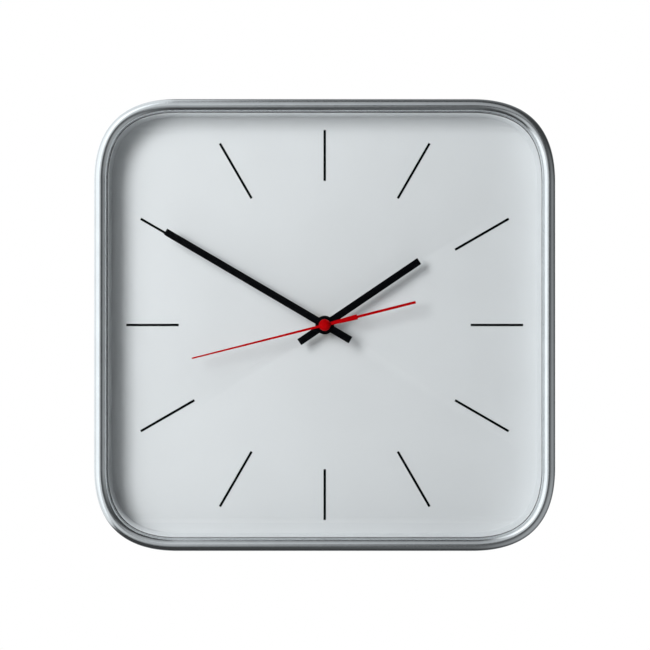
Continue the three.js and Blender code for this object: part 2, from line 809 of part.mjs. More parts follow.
// A round entry hole below a narrower slot whose rounded end rests on the nail.
function keyholeOutline() {
  const slotHalf = keyholeSlotWidth / 2;
  const entryCentre = new THREE.Vector2(0, hangerHeight - keyholeEntryDrop);
  const nail = new THREE.Vector2(0, hangerHeight);
  const meet = Math.asin(slotHalf / keyholeEntryRadius);
  const [entrySteps, slotSteps] = [20, 8];
  const points = [];
  for (let i = 0; i <= entrySteps; i += 1) {
    const angle = Math.PI / 2 + meet + ((2 * Math.PI - 2 * meet) * i) / entrySteps;
    points.push(polar(keyholeEntryRadius, angle).add(entryCentre));
  }
  for (let i = 0; i <= slotSteps; i += 1) {
    points.push(polar(slotHalf, (Math.PI * i) / slotSteps).add(nail));
  }
  return points;
}

function makeHangerPlate() {
  const halfWidth = ribOffset + hangerPlateMargin;
  const top = hangerHeight + keyholeSlotWidth / 2 + hangerPlateMargin;
  const bottom = hangerHeight - keyholeEntryDrop - keyholeEntryRadius - hangerPlateMargin;
  const outline = roundedRectangle(-halfWidth, halfWidth, bottom, top, hangerPlateCorner);
  const holes = hangerScrewPlaces.map((p) => circle(screwHoleRadius, 12, p));
  holes.push(keyholeOutline());
  return piece('hanger_plate', plate(outline, hangerPlateRear, hangerPlateFront, holes), 'steel');
}

// A pan-head screw whose head seats at the given depth and whose shank points to the room.
function makeScrew(name, place, seat) {
  const shank = pilotRadius - threadPlay;
  const profile = [
    [0, seat - screwHeadHeight],
    [screwHeadRadius * 0.55, seat - screwHeadHeight],
    [screwHeadRadius * 0.9, seat - screwHeadHeight * 0.65],
    [screwHeadRadius, seat - screwHeadHeight * 0.2],
    [screwHeadRadius, seat],
    [shank, seat],
    [shank, seat + screwLength - shank],
    [0, seat + screwLength],
  ];
  return onAxis(place, piece(name, turned(profile, screwSegments), 'steel'));
}

// Movement case

function movementOutline() {
  const half = movementHalfWidth;
  return roundedRectangle(-half, half, movementBottom, movementTop, movementCornerRadius);
}

// A hole for a pivot, open at the rear face of its boss or just inside a wall.
function pivotHole(axis, rear, front) {
  return disc(pivotRadius + pivotGap, rear, front, axis, pivotSegments);
}

// The front half: walls, the partition above the battery bay, and the posts and
// bosses that carry the train, the bridge and the stator.
function makeMovementBase() {
  const seat = baseInside + movementFrontWall / 2;
  const box = plate(movementOutline(), coverFront, webBack);
  const hollow = block(-innerHalfWidth, innerHalfWidth, movementRear, baseInside, bayBottom, innerTop);
  const bushingHole = disc(bushingRadius + pivotGap, flangeRear, dialBack);
  const partitionEnd = innerHalfWidth - contactWallGap - contactThickness - contactNotch;
  const partition = block(-partitionEnd, partitionEnd, coverFront, seat, bayTop, bayWallTop);
  const bosses = [
    [thirdAxis, motionLevel - shoulderGap],
    [rotorAxis, rotorBoss],
    [minuteAxis, minuteBoss],
  ];
  const pinFront = bridgeFront + bridgePinStand;
  const posts = [
    ...bosses.map(([axis, rear]) => disc(pivotBossRadius, rear, seat, axis, pivotSegments)),
    ...bridgePosts.map((p) => disc(bridgePostRadius, bridgeFront, seat, p, pivotSegments)),
    ...bridgePosts.map((p) => disc(bridgePinRadius, bridgeRear, pinFront, p, pivotSegments)),
    ...statorPosts.map((p) => disc(statorPostRadius, statorFront, seat, p, pivotSegments)),
  ];
  const pivots = bosses.map(([axis, rear]) => (
    pivotHole(axis, rear - shoulderGap, rear + pivotDepth + pivotSpare)
  ));
  const walls = join([box], [hollow, bushingHole]);
  return piece('movement_base', join([walls, partition, ...posts], pivots), 'movementPlastic');
}

function makeMovementCover() {
  const window = rectangle(-innerHalfWidth, innerHalfWidth, bayBottom, bayTop);
  const arborHole = circle(settingArborRadius + settingArborGap, 12, minuteAxis);
  const lid = plate(movementOutline(), movementRear, coverFront, [window, arborHole]);
  const axes = [handAxis, thirdAxis, fifthAxis, rotorAxis];
  const bossRear = coverFront - movementWall / 2;
  const bossFront = coverFront + pivotBossHeight;
  const holeRear = pivotShoulder - pivotDepth - pivotGap;
  const bosses = axes.map((axis) => disc(pivotBossRadius, bossRear, bossFront, axis, pivotSegments));
  const pivots = axes.map((axis) => pivotHole(axis, holeRear, secondsLevel));
  return piece('movement_cover', join([lid, ...bosses], pivots), 'movementPlastic');
}

function makeBridge() {
  const outline = rectangle(bridgeLeft, bridgeRight, bridgeBottom, bridgeTop);
  const thirdPinionTip = tipRadius(thirdPinionTeeth, centreModule);
  const rotorPinionTip = tipRadius(rotorTeeth, rotorModule);
  const holes = [
    circle(minuteTubeBore, pivotSegments, handAxis),
    circle(thirdPinionTip + pinionHoleGap, 12, thirdAxis),
    circle(pivotRadius + pivotGap, pivotSegments, fifthAxis),
    circle(rotorPinionTip + pinionHoleGap, 12, rotorAxis),
    circle(settingArborRadius + settingArborGap, pivotSegments, minuteAxis),
    ...bridgePosts.map((p) => circle(bridgePinRadius + pivotGap, pivotSegments, p)),
  ];
  return piece('train_bridge', plate(outline, bridgeRear, bridgeFront, holes), 'movementPlastic');
}

function makeBushing() {
  const flangeRadius = bushingRadius + bushingFlangeWidth;
  const profile = [
    [bushingBore, flangeRear],
    [flangeRadius, flangeRear],
    [flangeRadius, baseInside],
    [bushingRadius, baseInside],
    [bushingRadius, bushingTop - bushingChamfer],
    [bushingRadius - bushingChamfer, bushingTop],
    [bushingBore, bushingTop],
    [bushingBore, flangeRear],
  ];
  return piece('threaded_bushing', turned(profile), 'brass');
}

const washerFront = dialFront + washerThickness;

function makeWasher() {
  const ring = tube(threadRadius, threadRadius + washerWidth, dialFront, washerFront);
  return piece('bushing_washer', ring, 'steel');
}

function makeNut() {
  const cornerRadius = (threadRadius + nutWall) / Math.cos(Math.PI / 6);
  const hexagon = circle(cornerRadius, 6);
  const nut = plate(hexagon, washerFront, washerFront + nutThickness, [circle(threadRadius)]);
  return piece('hex_nut', nut, 'brass');
}

// Gear train. Each wheel is made round its own axis and then placed.

const secondsPhase = 0;
const thirdPinionPhase = 0;
const fifthPhase = 0;
const cannonPhase = 0;
const minutePinionPhase = 0;
const thirdPhase = meshedPhase(secondsPinionTeeth, secondsPhase, thirdTeeth, thirdDirection);
const centrePhase = meshedPhase(thirdPinionTeeth, thirdPinionPhase, centreTeeth, thirdDirection + Math.PI);
const fifthPinionPhase = meshedPhase(secondsTeeth, secondsPhase, fifthPinionTeeth, fifthDirection);
const rotorPhase = meshedPhase(fifthTeeth, fifthPhase, rotorTeeth, rotorDirection);
const minuteWheelPhase = meshedPhase(cannonTeeth, cannonPhase, minuteWheelTeeth, minuteDirection);
const hourPhase = meshedPhase(minutePinionTeeth, minutePinionPhase, hourTeeth, minuteDirection + Math.PI);

function gear(teeth, module, phase, rear, front, holes = []) {
  return plate(gearOutline(teeth, module, phase), rear, front, holes);
}

function arborWithPivots(rear, front) {
  return turned([
    [0, rear - pivotDepth],
    [pivotRadius, rear - pivotDepth],
    [pivotRadius, rear],
    [arborRadius, rear],
    [arborRadius, front],
    [pivotRadius, front],
    [pivotRadius, front + pivotDepth],
    [0, front + pivotDepth],
  ], pivotSegments);
}

function makeRotor() {
  const arbor = arborWithPivots(pivotShoulder, rotorBoss - shoulderGap);
  const leaves = gear(rotorTeeth, rotorModule, rotorPhase, thirdLevel - pinionOverhang, bridgeRear);
  const magnet = disc(magnetRadius, magnetFront - magnetThickness, magnetFront, handAxis, 20);
  return onAxis(rotorAxis, piece('rotor', join([arbor, leaves, magnet]), 'magnet'));
}

function makeFifthWheel() {
  const leavesRear = secondsLevel - pinionOverhang;
  const inWheel = thirdLevel + wheelThickness / 2;
  const arbor = arborWithPivots(pivotShoulder, bridgeRear - shoulderGap);
  const wheel = gear(fifthTeeth, rotorModule, fifthPhase, thirdLevel, thirdLevel + wheelThickness);
  const leaves = gear(fifthPinionTeeth, fifthModule, fifthPinionPhase, leavesRear, inWheel);
  return onAxis(fifthAxis, piece('fifth_wheel', join([arbor, wheel, leaves]), 'gearPlastic'));
}

function makeSecondsWheel() {
  const arborEnd = secondsHandFront + arborInCap;
  const inWheel = secondsLevel + wheelThickness / 2;
  const leavesFront = thirdLevel + wheelThickness + pinionOverhang;
  const arbor = turned([
    [0, pivotShoulder - pivotDepth],
    [pivotRadius, pivotShoulder - pivotDepth],
    [pivotRadius, pivotShoulder],
    [secondsArborRadius, pivotShoulder],
    [secondsArborRadius, arborEnd],
    [0, arborEnd],
  ], pivotSegments);
  const wheel = gear(secondsTeeth, fifthModule, secondsPhase, secondsLevel, secondsLevel + wheelThickness);
  const leaves = gear(secondsPinionTeeth, thirdModule, secondsPhase, inWheel, leavesFront);
  return piece('seconds_wheel', join([arbor, wheel, leaves]), 'gearPlastic');
}

function makeThirdWheel() {
  const inWheel = thirdLevel + wheelThickness / 2;
  const leavesFront = centreFront + pinionOverhang;
  const arbor = arborWithPivots(pivotShoulder, motionLevel - 2 * shoulderGap);
  const wheel = gear(thirdTeeth, thirdModule, thirdPhase, thirdLevel, thirdLevel + wheelThickness);
  const leaves = gear(thirdPinionTeeth, centreModule, thirdPinionPhase, inWheel, leavesFront);
  return onAxis(thirdAxis, piece('third_wheel', join([arbor, wheel, leaves]), 'gearPlastic'));
}

// Grips the minute tube by friction, so the hands can be set while the train stands.
function makeCentreWheel() {
  const bore = minuteTubeRadius + shaftGap;
  const hubFront = centreFront + clutchHubStand;
  const wheel = gear(centreTeeth, centreModule, centrePhase, centreLevel, centreFront, [circle(bore)]);
  const hub = tube(bore, bore + clutchHubWall, centreLevel + hubSink, hubFront);
  return piece('centre_wheel', join([wheel, hub]), 'gearPlastic');
}

function makeCannonPinion() {
  const leavesRear = centreFront + clutchHubStand + shoulderGap;
  const leavesFront = motionFront + pinionOverhang;
  const bore = [circle(minuteTubeBore)];
  const sleeve = tube(minuteTubeBore, minuteTubeRadius, bridgeFront + shoulderGap, minuteTubeTop);
  const leaves = gear(cannonTeeth, cannonModule, cannonPhase, leavesRear, leavesFront, bore);
  return piece('cannon_pinion', join([sleeve, leaves]), 'brass');
}

function makeMinuteWheel() {
  const inWheel = motionLevel + wheelThickness / 2;
  const arborRear = knobRear + knobFloor + knobFit;
  const arborFront = minuteBoss - shoulderGap;
  const leavesFront = hourFront + pinionOverhang;
  const arbor = turned([
    [0, arborRear],
    [settingArborRadius, arborRear],
    [settingArborRadius, arborFront],
    [pivotRadius, arborFront],
    [pivotRadius, arborFront + pivotDepth],
    [0, arborFront + pivotDepth],
  ], pivotSegments);
  const wheel = gear(minuteWheelTeeth, cannonModule, minuteWheelPhase, motionLevel, motionFront);
  const leaves = gear(minutePinionTeeth, hourModule, minutePinionPhase, inWheel, leavesFront);
  return onAxis(minuteAxis, piece('minute_wheel', join([arbor, wheel, leaves]), 'gearPlastic'));
}

function makeHourWheel() {
  const sink = hourLevel + hubSink;
  const wheel = gear(hourTeeth, hourModule, hourPhase, hourLevel, hourFront, [circle(hourTubeBore)]);
  const hub = tube(hourTubeBore, hourTubeRadius + hubWall, sink, flangeRear - 2 * shoulderGap);
  const sleeve = tube(hourTubeBore, hourTubeRadius, sink, hourTubeTop);
  return piece('hour_wheel', join([wheel, hub, sleeve]), 'gearPlastic');
}

function makeKnob() {
  const outline = [];
  for (let i = 0; i < 2 * knobGrips; i += 1) {
    outline.push(polar(knobRadius - (i % 2) * knobGripDepth, (Math.PI * i) / knobGrips));
  }
  const head = plate(outline, knobRear, knobFront);
  const socket = disc(settingArborRadius + knobFit, knobRear + knobFloor, movementRear, handAxis, 12);
  return onAxis(minuteAxis, piece('setting_knob', join([head], [socket]), 'movementPlastic'));
}

// Motor and circuit

function makeStator() {
  const bore = magnetRadius + statorGap;
  const rise = coilHeight + coreWidth / 2;
  const inYoke = yokeTop - statorYokeSink;
  const [left, right] = [rotorAxis.x - bore, rotorAxis.x + bore];
  const poles = disc(bore + statorBand, statorRear, statorFront, rotorAxis, 20);
  const neck = block(left, right, statorRear, statorFront, rotorAxis.y + bore, inYoke);
  const yoke = block(yokeStart, yokeEnd, statorRear, statorFront, yokeBottom, yokeTop);
  const arms = [coreStart, coreEnd - statorArmWidth].map((start) => (
    block(start, start + statorArmWidth, statorRear, statorFront, inYoke, rise)
  ));
  const hole = disc(bore, bridgeFront, statorFront + statorLift, rotorAxis, 20);
  return piece('stator', join([poles, neck, yoke, ...arms], [hole]), 'steel');
}

function makeCoilCore() {
  const half = coreWidth / 2;
  const front = statorFront + coreThickness;
  const strip = block(coreStart, coreEnd, statorFront, front, coilHeight - half, coilHeight + half);
  return piece('coil_core', strip, 'steel');
}

function makeBobbin() {
  const spool = turned([
    [0, bobbinStart],
    [bobbinFlange, bobbinStart],
    [bobbinFlange, coilStart],
    [bobbinBarrel, coilStart],
    [bobbinBarrel, coilEnd],
    [bobbinFlange, coilEnd],
    [bobbinFlange, bobbinEnd],
    [0, bobbinEnd],
  ]);
  const slotLength = bobbinEnd - bobbinStart + 2 * bobbinFlangeThickness;
  const slot = new THREE.BoxGeometry(coreThickness + 2 * coreGap, slotLength, coreWidth + 2 * coreGap);
  slot.translate(0, -coilCentre, 0);
  return alongX(coreCentre, coilHeight, piece('coil_bobbin', join([spool], [slot]), 'gearPlastic'));
}

function makeWinding() {
  const [start, end] = [coilStart + windingGap, coilEnd - windingGap];
  const winding = tube(bobbinBarrel + windingGap, coilRadius, start, end, 20);
  return alongX(coreCentre, coilHeight, piece('coil_winding', winding, 'copper'));
}

function makeBoard() {
  const half = boardHalfWidth;
  const inset = boardFootInset;
  const holes = statorPosts.map((p) => circle(statorPostRadius + boardHoleGap, 12, p));
  const sheet = plate(rectangle(-half, half, boardBottom, boardTop), boardRear, boardFront, holes);
  const chip = turned([
    [0, boardRear - chipHeight],
    [chipRadius * 0.6, boardRear - chipHeight * 0.7],
    [chipRadius, boardRear + boardFootSink],
    [0, boardRear + boardFootSink],
  ], 12);
  chip.translate(-half + chipInset, 0, boardTop - chipInset);
  const feet = rectangle(-half + inset, half - inset, boardBottom + inset, boardTop - inset)
    .map((p) => disc(boardFootRadius, boardRear + boardFootSink, baseInside, p, pivotSegments));
  return piece('circuit_board', join([sheet, chip, ...feet]), 'board');
}

function makeCrystal() {
  const half = crystalLength / 2;
  const edge = crystalRadius * 0.35;
  const can = turned([
    [0, -half],
    [crystalRadius - edge, -half],
    [crystalRadius, edge - half],
    [crystalRadius, half],
    [0, half],
  ], 12);
  const depth = boardRear - crystalRadius - crystalGap;
  const height = boardBottom + crystalRadius + crystalGap;
  const mesh = alongX(depth, height, piece('quartz_crystal', can, 'steel'));
  mesh.position.x = boardHalfWidth - half - crystalInset;
  return mesh;
}

// Battery

function makeBattery() {
  const radius = batteryDiameter / 2;
  const shoulder = batteryEnd - batteryNubLength;
  const nubEdge = batteryNubLength / 4;
  const cell = turned([
    [0, batteryStart],
    [radius - batteryEdge, batteryStart],
    [radius, batteryStart + batteryEdge],
    [radius, shoulder - batteryEdge],
    [radius - batteryEdge, shoulder],
    [batteryNubRadius, shoulder],
    [batteryNubRadius, batteryEnd - nubEdge],
    [batteryNubRadius - nubEdge, batteryEnd],
    [0, batteryEnd],
  ]);
  return alongX(batteryAxisDepth, batteryAxisHeight, piece('battery_cell', cell, 'batteryJacket'));
}

// A strip of the contact's thickness that follows points in x and z.
function stripOutline(points) {
  const sides = points.map((point, i) => {
    const before = points[Math.max(i - 1, 0)];
    const after = points[Math.min(i + 1, points.length - 1)];
    const along = after.clone().sub(before).normalize();
    return new THREE.Vector2(-along.y, along.x).multiplyScalar(contactThickness / 2);
  });
  const left = points.map((point, i) => point.clone().add(sides[i]));
  const right = points.map((point, i) => point.clone().sub(sides[i])).reverse();
  return [...left, ...right];
}

// Both contacts run up through the ends of the partition, where a tongue meets the board.
function makeContact(name, middle, points) {
  const half = contactThickness / 2 - tongueInset;
  const [rear, front] = [batteryAxisDepth - contactWidth / 2, batteryAxisDepth + contactWidth / 2];
  const [bottom, top] = [boardBottom - tongueDrop, contactTop - contactThickness];
  const leaf = plate(stripOutline(points), rear, front);
  const tongueFront = boardRear - tongueGap;
  const tongue = block(middle - half, middle + half, batteryAxisDepth, tongueFront, bottom, top);
  return piece(name, join([leaf, tongue]), 'steel');
}

function makePositiveContact() {
  const points = [batteryAxisHeight - contactFoot, contactTop].map((z) => (
    new THREE.Vector2(contactStrip, z)
  ));
  return makeContact('battery_contact_positive', contactStrip, points);
}

// The strip bows out towards the battery's flat end.
function makeNegativeContact() {
  const bow = batteryStart - contactTouchGap - contactThickness / 2;
  const points = [
    [-contactStrip, contactTop],
    [-contactStrip, batteryAxisHeight + springHeight],
    [bow, batteryAxisHeight + springFlat],
    [bow, batteryAxisHeight - springFlat],
    [-contactStrip, batteryAxisHeight - springHeight],
    [-contactStrip, batteryAxisHeight - contactFoot],
  ].map(([x, z]) => new THREE.Vector2(x, z));
  return makeContact('battery_contact_negative', -contactStrip, points);
}

// Hands, drawn pointing to twelve

function blade(rootWidth, tipWidth, start, end, rear, front) {
  const outline = [
    new THREE.Vector2(-rootWidth / 2, start),
    new THREE.Vector2(rootWidth / 2, start),
    new THREE.Vector2(tipWidth / 2, end),
    new THREE.Vector2(-tipWidth / 2, end),
  ];
  return plate(outline, rear, front);
}

// Adds the round boss and the collar that presses onto the tube.
function handOnTube(bar, level, bossRadius, tubeRadius, tubeTop) {
  const bore = tubeRadius + handFit;
  const boss = disc(bossRadius, level, level + handThickness, handAxis, 28);
  const collar = disc(bore + collarWall, level - collarRear, tubeTop - handFit);
  const hole = disc(bore, level - handGap, tubeTop + handSpacing);
  return join([bar, boss, collar], [hole]);
}

function makeHourHand() {
  const [rear, front] = [hourHandLevel, hourHandLevel + handThickness];
  const bar = blade(hourHandWidth, hourHandWidth, -hourHandTail, hourHandLength, rear, front);
  const hand = handOnTube(bar, rear, hourBossRadius, hourTubeRadius, hourTubeTop);
  return clockwise(hourAngle, piece('hour_hand', hand, 'handBlack'));
}

function makeMinuteHand() {
  const [rear, front] = [minuteHandLevel, minuteHandLevel + handThickness];
  const length = Math.min(caseWidth, caseHeight) / 2 - ringInset - minuteHandTipGap;
  const bar = blade(minuteHandWidth, minuteHandTipWidth, -minuteHandTail, length, rear, front);
  const hand = handOnTube(bar, rear, minuteBossRadius, minuteTubeRadius, minuteTubeTop);
  return clockwise(minuteAngle, piece('minute_hand', hand, 'handBlack'));
}

function makeSecondsHand() {
  const [rear, front] = [secondsHandLevel, secondsHandFront];
  const pointer = blade(secondsHandWidth, secondsHandTipWidth, 0, secondsHandLength, rear, front);
  const tail = blade(secondsTailWidth, secondsTailWidth, -secondsTailLength, 0, rear, front);
  const hub = disc(secondsHubRadius, rear, front);
  const hole = disc(secondsArborRadius + handFit, rear - handSpacing, front + arborInCap, handAxis, 12);
  return clockwise(secondsAngle, piece('seconds_hand', join([pointer, tail, hub], [hole]), 'signalRed'));
}

function makeCounterweight() {
  const [rear, front] = [secondsHandFront, secondsHandFront + counterweightThickness];
  const [start, end] = [-counterweightLength, -capRadius - capGap];
  const bar = blade(counterweightWidth, counterweightRootWidth, start, end, rear, front);
  return clockwise(secondsAngle, piece('seconds_counterweight', bar, 'signalRed'));
}

function makeCap() {
  const seat = secondsHandFront;
  const bore = secondsArborRadius + handFit;
  const boreEnd = seat + arborInCap + capBoreSpare;
  const dome = ellipseArc([0, seat + capSkirt], [capRadius, capHeight - capSkirt], 0, 90, 5);
  dome[dome.length - 1][0] = 0;
  const profile = [[bore, seat], [capRadius, seat], ...dome, [0, boreEnd], [bore, boreEnd], [bore, seat]];
  return clockwise(secondsAngle, piece('seconds_cap', turned(profile, 18), 'signalRed'));
}

// The clock hangs from the nail, so the hand axis lies below the origin.
const works = new THREE.Group();
works.position.z = -hangerHeight;
works.add(makeBezelFrame(), makeGasket(), makeLens(), makeDialRing(), makeDial());
for (let hour = 1; hour <= 12; hour += 1) works.add(makeHourMark(hour));
works.add(makeBackShell(), makeHangerPlate());
caseCorners(caseScrewInset).forEach((place, i) => {
  works.add(makeScrew(`case_screw_${i + 1}`, place, webBack));
});
hangerScrewPlaces.forEach((place, i) => {
  works.add(makeScrew(`hanger_screw_${i + 1}`, place, hangerPlateRear));
});
works.add(makeMovementBase(), makeMovementCover(), makeBridge());
works.add(makeBushing(), makeWasher(), makeNut());
works.add(makeRotor(), makeFifthWheel(), makeSecondsWheel(), makeThirdWheel(), makeCentreWheel());
works.add(makeCannonPinion(), makeMinuteWheel(), makeHourWheel(), makeKnob());
works.add(makeStator(), makeCoilCore(), makeBobbin(), makeWinding(), makeBoard(), makeCrystal());
works.add(makeBattery(), makePositiveContact(), makeNegativeContact());
works.add(makeHourHand(), makeMinuteHand(), makeSecondsHand(), makeCounterweight(), makeCap());

const clock = new THREE.Group();
clock.add(works);

export default clock;
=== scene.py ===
"""Square wall clock: fine meshes, surfaces, light and camera round the fixed frame.

Metres, +Z up. The wall is the plane y = 0 and the clock faces -Y. Outlines are drawn in
x and z from the hand axis, and depths are measured from the wall towards the room.
"""
import json
import math

import bmesh
import bpy
from mathutils import Matrix, Vector


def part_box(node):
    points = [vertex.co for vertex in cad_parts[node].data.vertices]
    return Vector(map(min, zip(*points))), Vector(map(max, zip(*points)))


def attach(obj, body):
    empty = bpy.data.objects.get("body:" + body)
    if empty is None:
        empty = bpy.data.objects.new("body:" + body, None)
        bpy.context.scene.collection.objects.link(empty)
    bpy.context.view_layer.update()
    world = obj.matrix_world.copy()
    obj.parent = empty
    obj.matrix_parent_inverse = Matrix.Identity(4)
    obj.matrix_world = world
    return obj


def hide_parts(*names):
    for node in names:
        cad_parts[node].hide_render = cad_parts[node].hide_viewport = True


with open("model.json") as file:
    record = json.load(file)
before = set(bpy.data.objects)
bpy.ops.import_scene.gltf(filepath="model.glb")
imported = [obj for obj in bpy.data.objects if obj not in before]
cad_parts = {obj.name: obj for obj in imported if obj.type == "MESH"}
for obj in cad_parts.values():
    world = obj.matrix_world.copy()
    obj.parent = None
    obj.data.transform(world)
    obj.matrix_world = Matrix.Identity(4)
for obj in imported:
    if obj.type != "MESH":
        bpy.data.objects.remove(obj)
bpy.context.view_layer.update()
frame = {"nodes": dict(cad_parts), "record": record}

MM = 0.001

# The frame's own sizes
case_low, case_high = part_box("bezel_frame")
CASE_WIDTH = case_high.x - case_low.x
CASE_HEIGHT = case_high.z - case_low.z
CASE_DEPTH = -case_low.y
AXIS_HEIGHT = (case_low.z + case_high.z) / 2

body_of = {node: body for body, nodes in frame["record"]["behaviour"]["bodies"].items() for node in nodes}
slot_of = {part["node"]: part["material_slot"] for part in frame["record"]["subparts"]}

# Case: the corner curve and the section of the rolled rim, with its end angles in degrees
CORNER_REACH = 54 * MM
CORNER_FULLNESS = 0.664
CORNER_STEPS = 48
METAL = 1.4 * MM
FLANGE_WIDTH = 5 * MM
REAR_EDGE = 0.6 * MM
BEAD_OUTER_WIDTH = 4.5 * MM
BEAD_OUTER_RISE = 5 * MM
BEAD_OUTER_STEPS = 28
BEAD_INNER_WIDTH = 3.65 * MM
BEAD_INNER_RISE = 2.6 * MM
BEAD_INNER_END = 18
BEAD_INNER_STEPS = 20
LIP_INSET = 8.6 * MM
LIP_THICKNESS = 1.2 * MM
LIP_EDGE = 0.15 * MM
LIP_EDGE_START = 78
LIP_FALL = 0.05 * MM
EDGE_STEPS = 5

# Gasket, lens and ring
GASKET_SHOW = 0.15 * MM
GASKET_STEPS = 8
LENS_EDGE = 0.2 * MM
RING_INSET = 9.2 * MM
RING_TOP_INSET = 8.9 * MM
RING_FILLET = 0.15 * MM
RING_FILLET_STEPS = 4
RING_WALL = 1.4 * MM
CASE_SCREW_INSET = 6.2 * MM
BOSS_RADIUS = 2.6 * MM

# Dial, its holes given by their radius
DIAL_EDGE = 0.1 * MM
DIAL_BUSHING_HOLE = 4.2 * MM
DIAL_SCREW_HOLE = 1.7 * MM
MARK_WIDTH = 1.6 * MM
MARK_EDGE = 0.03 * MM
HOURS = 12

# Hands, drawn pointing to twelve and turned by these angles in degrees. Bores and bosses are
# given by their radius, and the gap lies between the minute hand's tip and the ring.
HOUR_ANGLE = 55.9
MINUTE_ANGLE = 300.4
SECONDS_ANGLE = 255.9
BLADE_THICKNESS = 0.6 * MM
BLADE_EDGE = 0.08 * MM
COLLAR_WALL = 1 * MM
COLLAR_EDGE = 0.12 * MM
COLLAR_BEHIND = 0.3 * MM
HOUR_BORE = 2.6 * MM
MINUTE_BORE = 1.65 * MM
MINUTE_TIP_GAP = 16.8 * MM
RED_THICKNESS = 0.4 * MM
RED_EDGE = 0.06 * MM
RED_BORE = 0.6 * MM
HOUR_OUTLINE = {
    "tail_width": 4.75 * MM,
    "tail": 20.2 * MM,
    "root_width": 4.75 * MM,
    "tip_width": 4.75 * MM,
    "length": 75 * MM,
    "boss": 6.15 * MM,
}
MINUTE_OUTLINE = {
    "tail_width": 4.85 * MM,
    "tail": 19.6 * MM,
    "root_width": 4.85 * MM,
    "tip_width": 4.6 * MM,
    "length": CASE_HEIGHT / 2 - RING_INSET - MINUTE_TIP_GAP,
    "boss": 5.25 * MM,
}
SECONDS_OUTLINE = {
    "tail_width": 1.75 * MM,
    "tail": 61.4 * MM,
    "root_width": 1.65 * MM,
    "tip_width": 1 * MM,
    "length": 89.6 * MM,
    "boss": 3 * MM,
}
WEIGHT_END = 22 * MM
WEIGHT_START = 4 * MM
WEIGHT_END_WIDTH = 3.5 * MM
WEIGHT_START_WIDTH = 2.2 * MM

# Pieces that keep the frame's own shapes: their softened edges, the distances within which points
# are merged before and after that, and the angles in degrees that count as flat and as an edge
SHELL_EDGE = 0.25 * MM
HANGER_EDGE = 0.15 * MM
MOVEMENT_EDGE = 0.2 * MM
SMALL_EDGE = 0.08 * MM
WHEEL_EDGE = 0.03 * MM
MERGE_BEFORE = 0.001 * MM
MERGE_AFTER = 0.002 * MM
FLAT_ANGLE = 0.5
SOFTENED_ANGLE = 35
DRESSED_SHARP_ANGLE = 25

# Every mesh: the distance within which points are merged, the length of an edge that counts as
# nothing, and the angle in degrees from which an edge of a swept shape or of a plate is sharp
MERGE = 0.0001 * MM
NO_LENGTH = 0.00001 * MM
SHARP_ANGLE = 32
PLATE_SHARP_ANGLE = 40

# Camera: straight on, level with the hands
CAMERA_PLACE = (0.0002, -1.0884, -0.105)
CAMERA_LENS = 89.1

# Studio
WHITE = (1.0, 1.0, 1.0, 1.0)
FLOOR_HEIGHT = -0.75
FLOOR_HALF_WIDTH = 2.2
FLOOR_NEAR = -2.4
FLOOR_FAR = 1.9
FLOOR_CLOUD = 0.3
FLOOR_COLOUR = (0.93, 0.935, 0.94)
# How far the floor is lifted towards white where the camera sees it
FLOOR_WHITENESS = 0.65
SOFTBOXES = (
    {"name": "key", "offset": (-0.66, 1.09, 0.34), "width": 0.42, "height": 0.62, "power": 9.3},
    {"name": "wide", "offset": (-0.66, 1.09, 0.36), "width": 0.95, "height": 1.2, "power": 6.9},
    {"name": "rear_fill", "offset": (0.7, -1.4, 0.8), "width": 1.2, "height": 1.2, "power": 14},
)
# What the metal sees: each card is bright where the direction from the clock lies near its own,
# from the cosine between the two at which it starts to the one at which it has its full strength
CARDS = (
    {"toward": (-0.93, 0.05, 0.37), "starts": 0.4, "full": 0.47, "strength": 0.9},
    {"toward": (-0.75, -0.66, 0.2), "starts": 0.57, "full": 0.8, "strength": 0.38},
    {"toward": (-0.17, -0.81, 0.56), "starts": 0.81, "full": 0.88, "strength": 0.36},
    {"toward": (-0.37, -0.88, -0.31), "starts": 0.88, "full": 0.95, "strength": 0.36},
    {"toward": (0.78, -0.33, -0.53), "starts": 0.52, "full": 1.0, "strength": 0.38},
    {"toward": (0.21, 0.49, 0.85), "starts": 0.8, "full": 1.0, "strength": 0.12},
    {"toward": (0.0, 1.0, 0.0), "starts": 0.6, "full": 1.0, "strength": 0.68},
)
STUDIO_TINT = (0.955, 0.985, 1.0, 1.0)
STUDIO_DIM = 0.055
# The share of the studio's light that falls on the clock other than as a reflection
DIFFUSE_SHARE = 0.04

# Kinds of surface: clouds drift through the colour, and a fine grain sets gloss and relief
SATIN_METAL = {
    "cloud": 18 * MM,
    "cloud_detail": 2,
    "mottle": 0.012,
    "grain": 0.5 * MM,
    "grain_detail": 4,
    "height": 0.002 * MM,
    "strength": 0.3,
    "Metallic": 1.0,
}
MOULDED = {
    "cloud": 12 * MM,
    "cloud_detail": 3,
    "mottle": 0.05,
    "grain": 0.5 * MM,
    "grain_detail": 3,
    "height": 0.02 * MM,
    "strength": 0.6,
}
PAINTED = {
    "cloud": 8 * MM,
    "cloud_detail": 2,
    "mottle": 0.03,
    "grain": 0.35 * MM,
    "grain_detail": 2,
    "height": 0.004 * MM,
    "strength": 0.4,
}

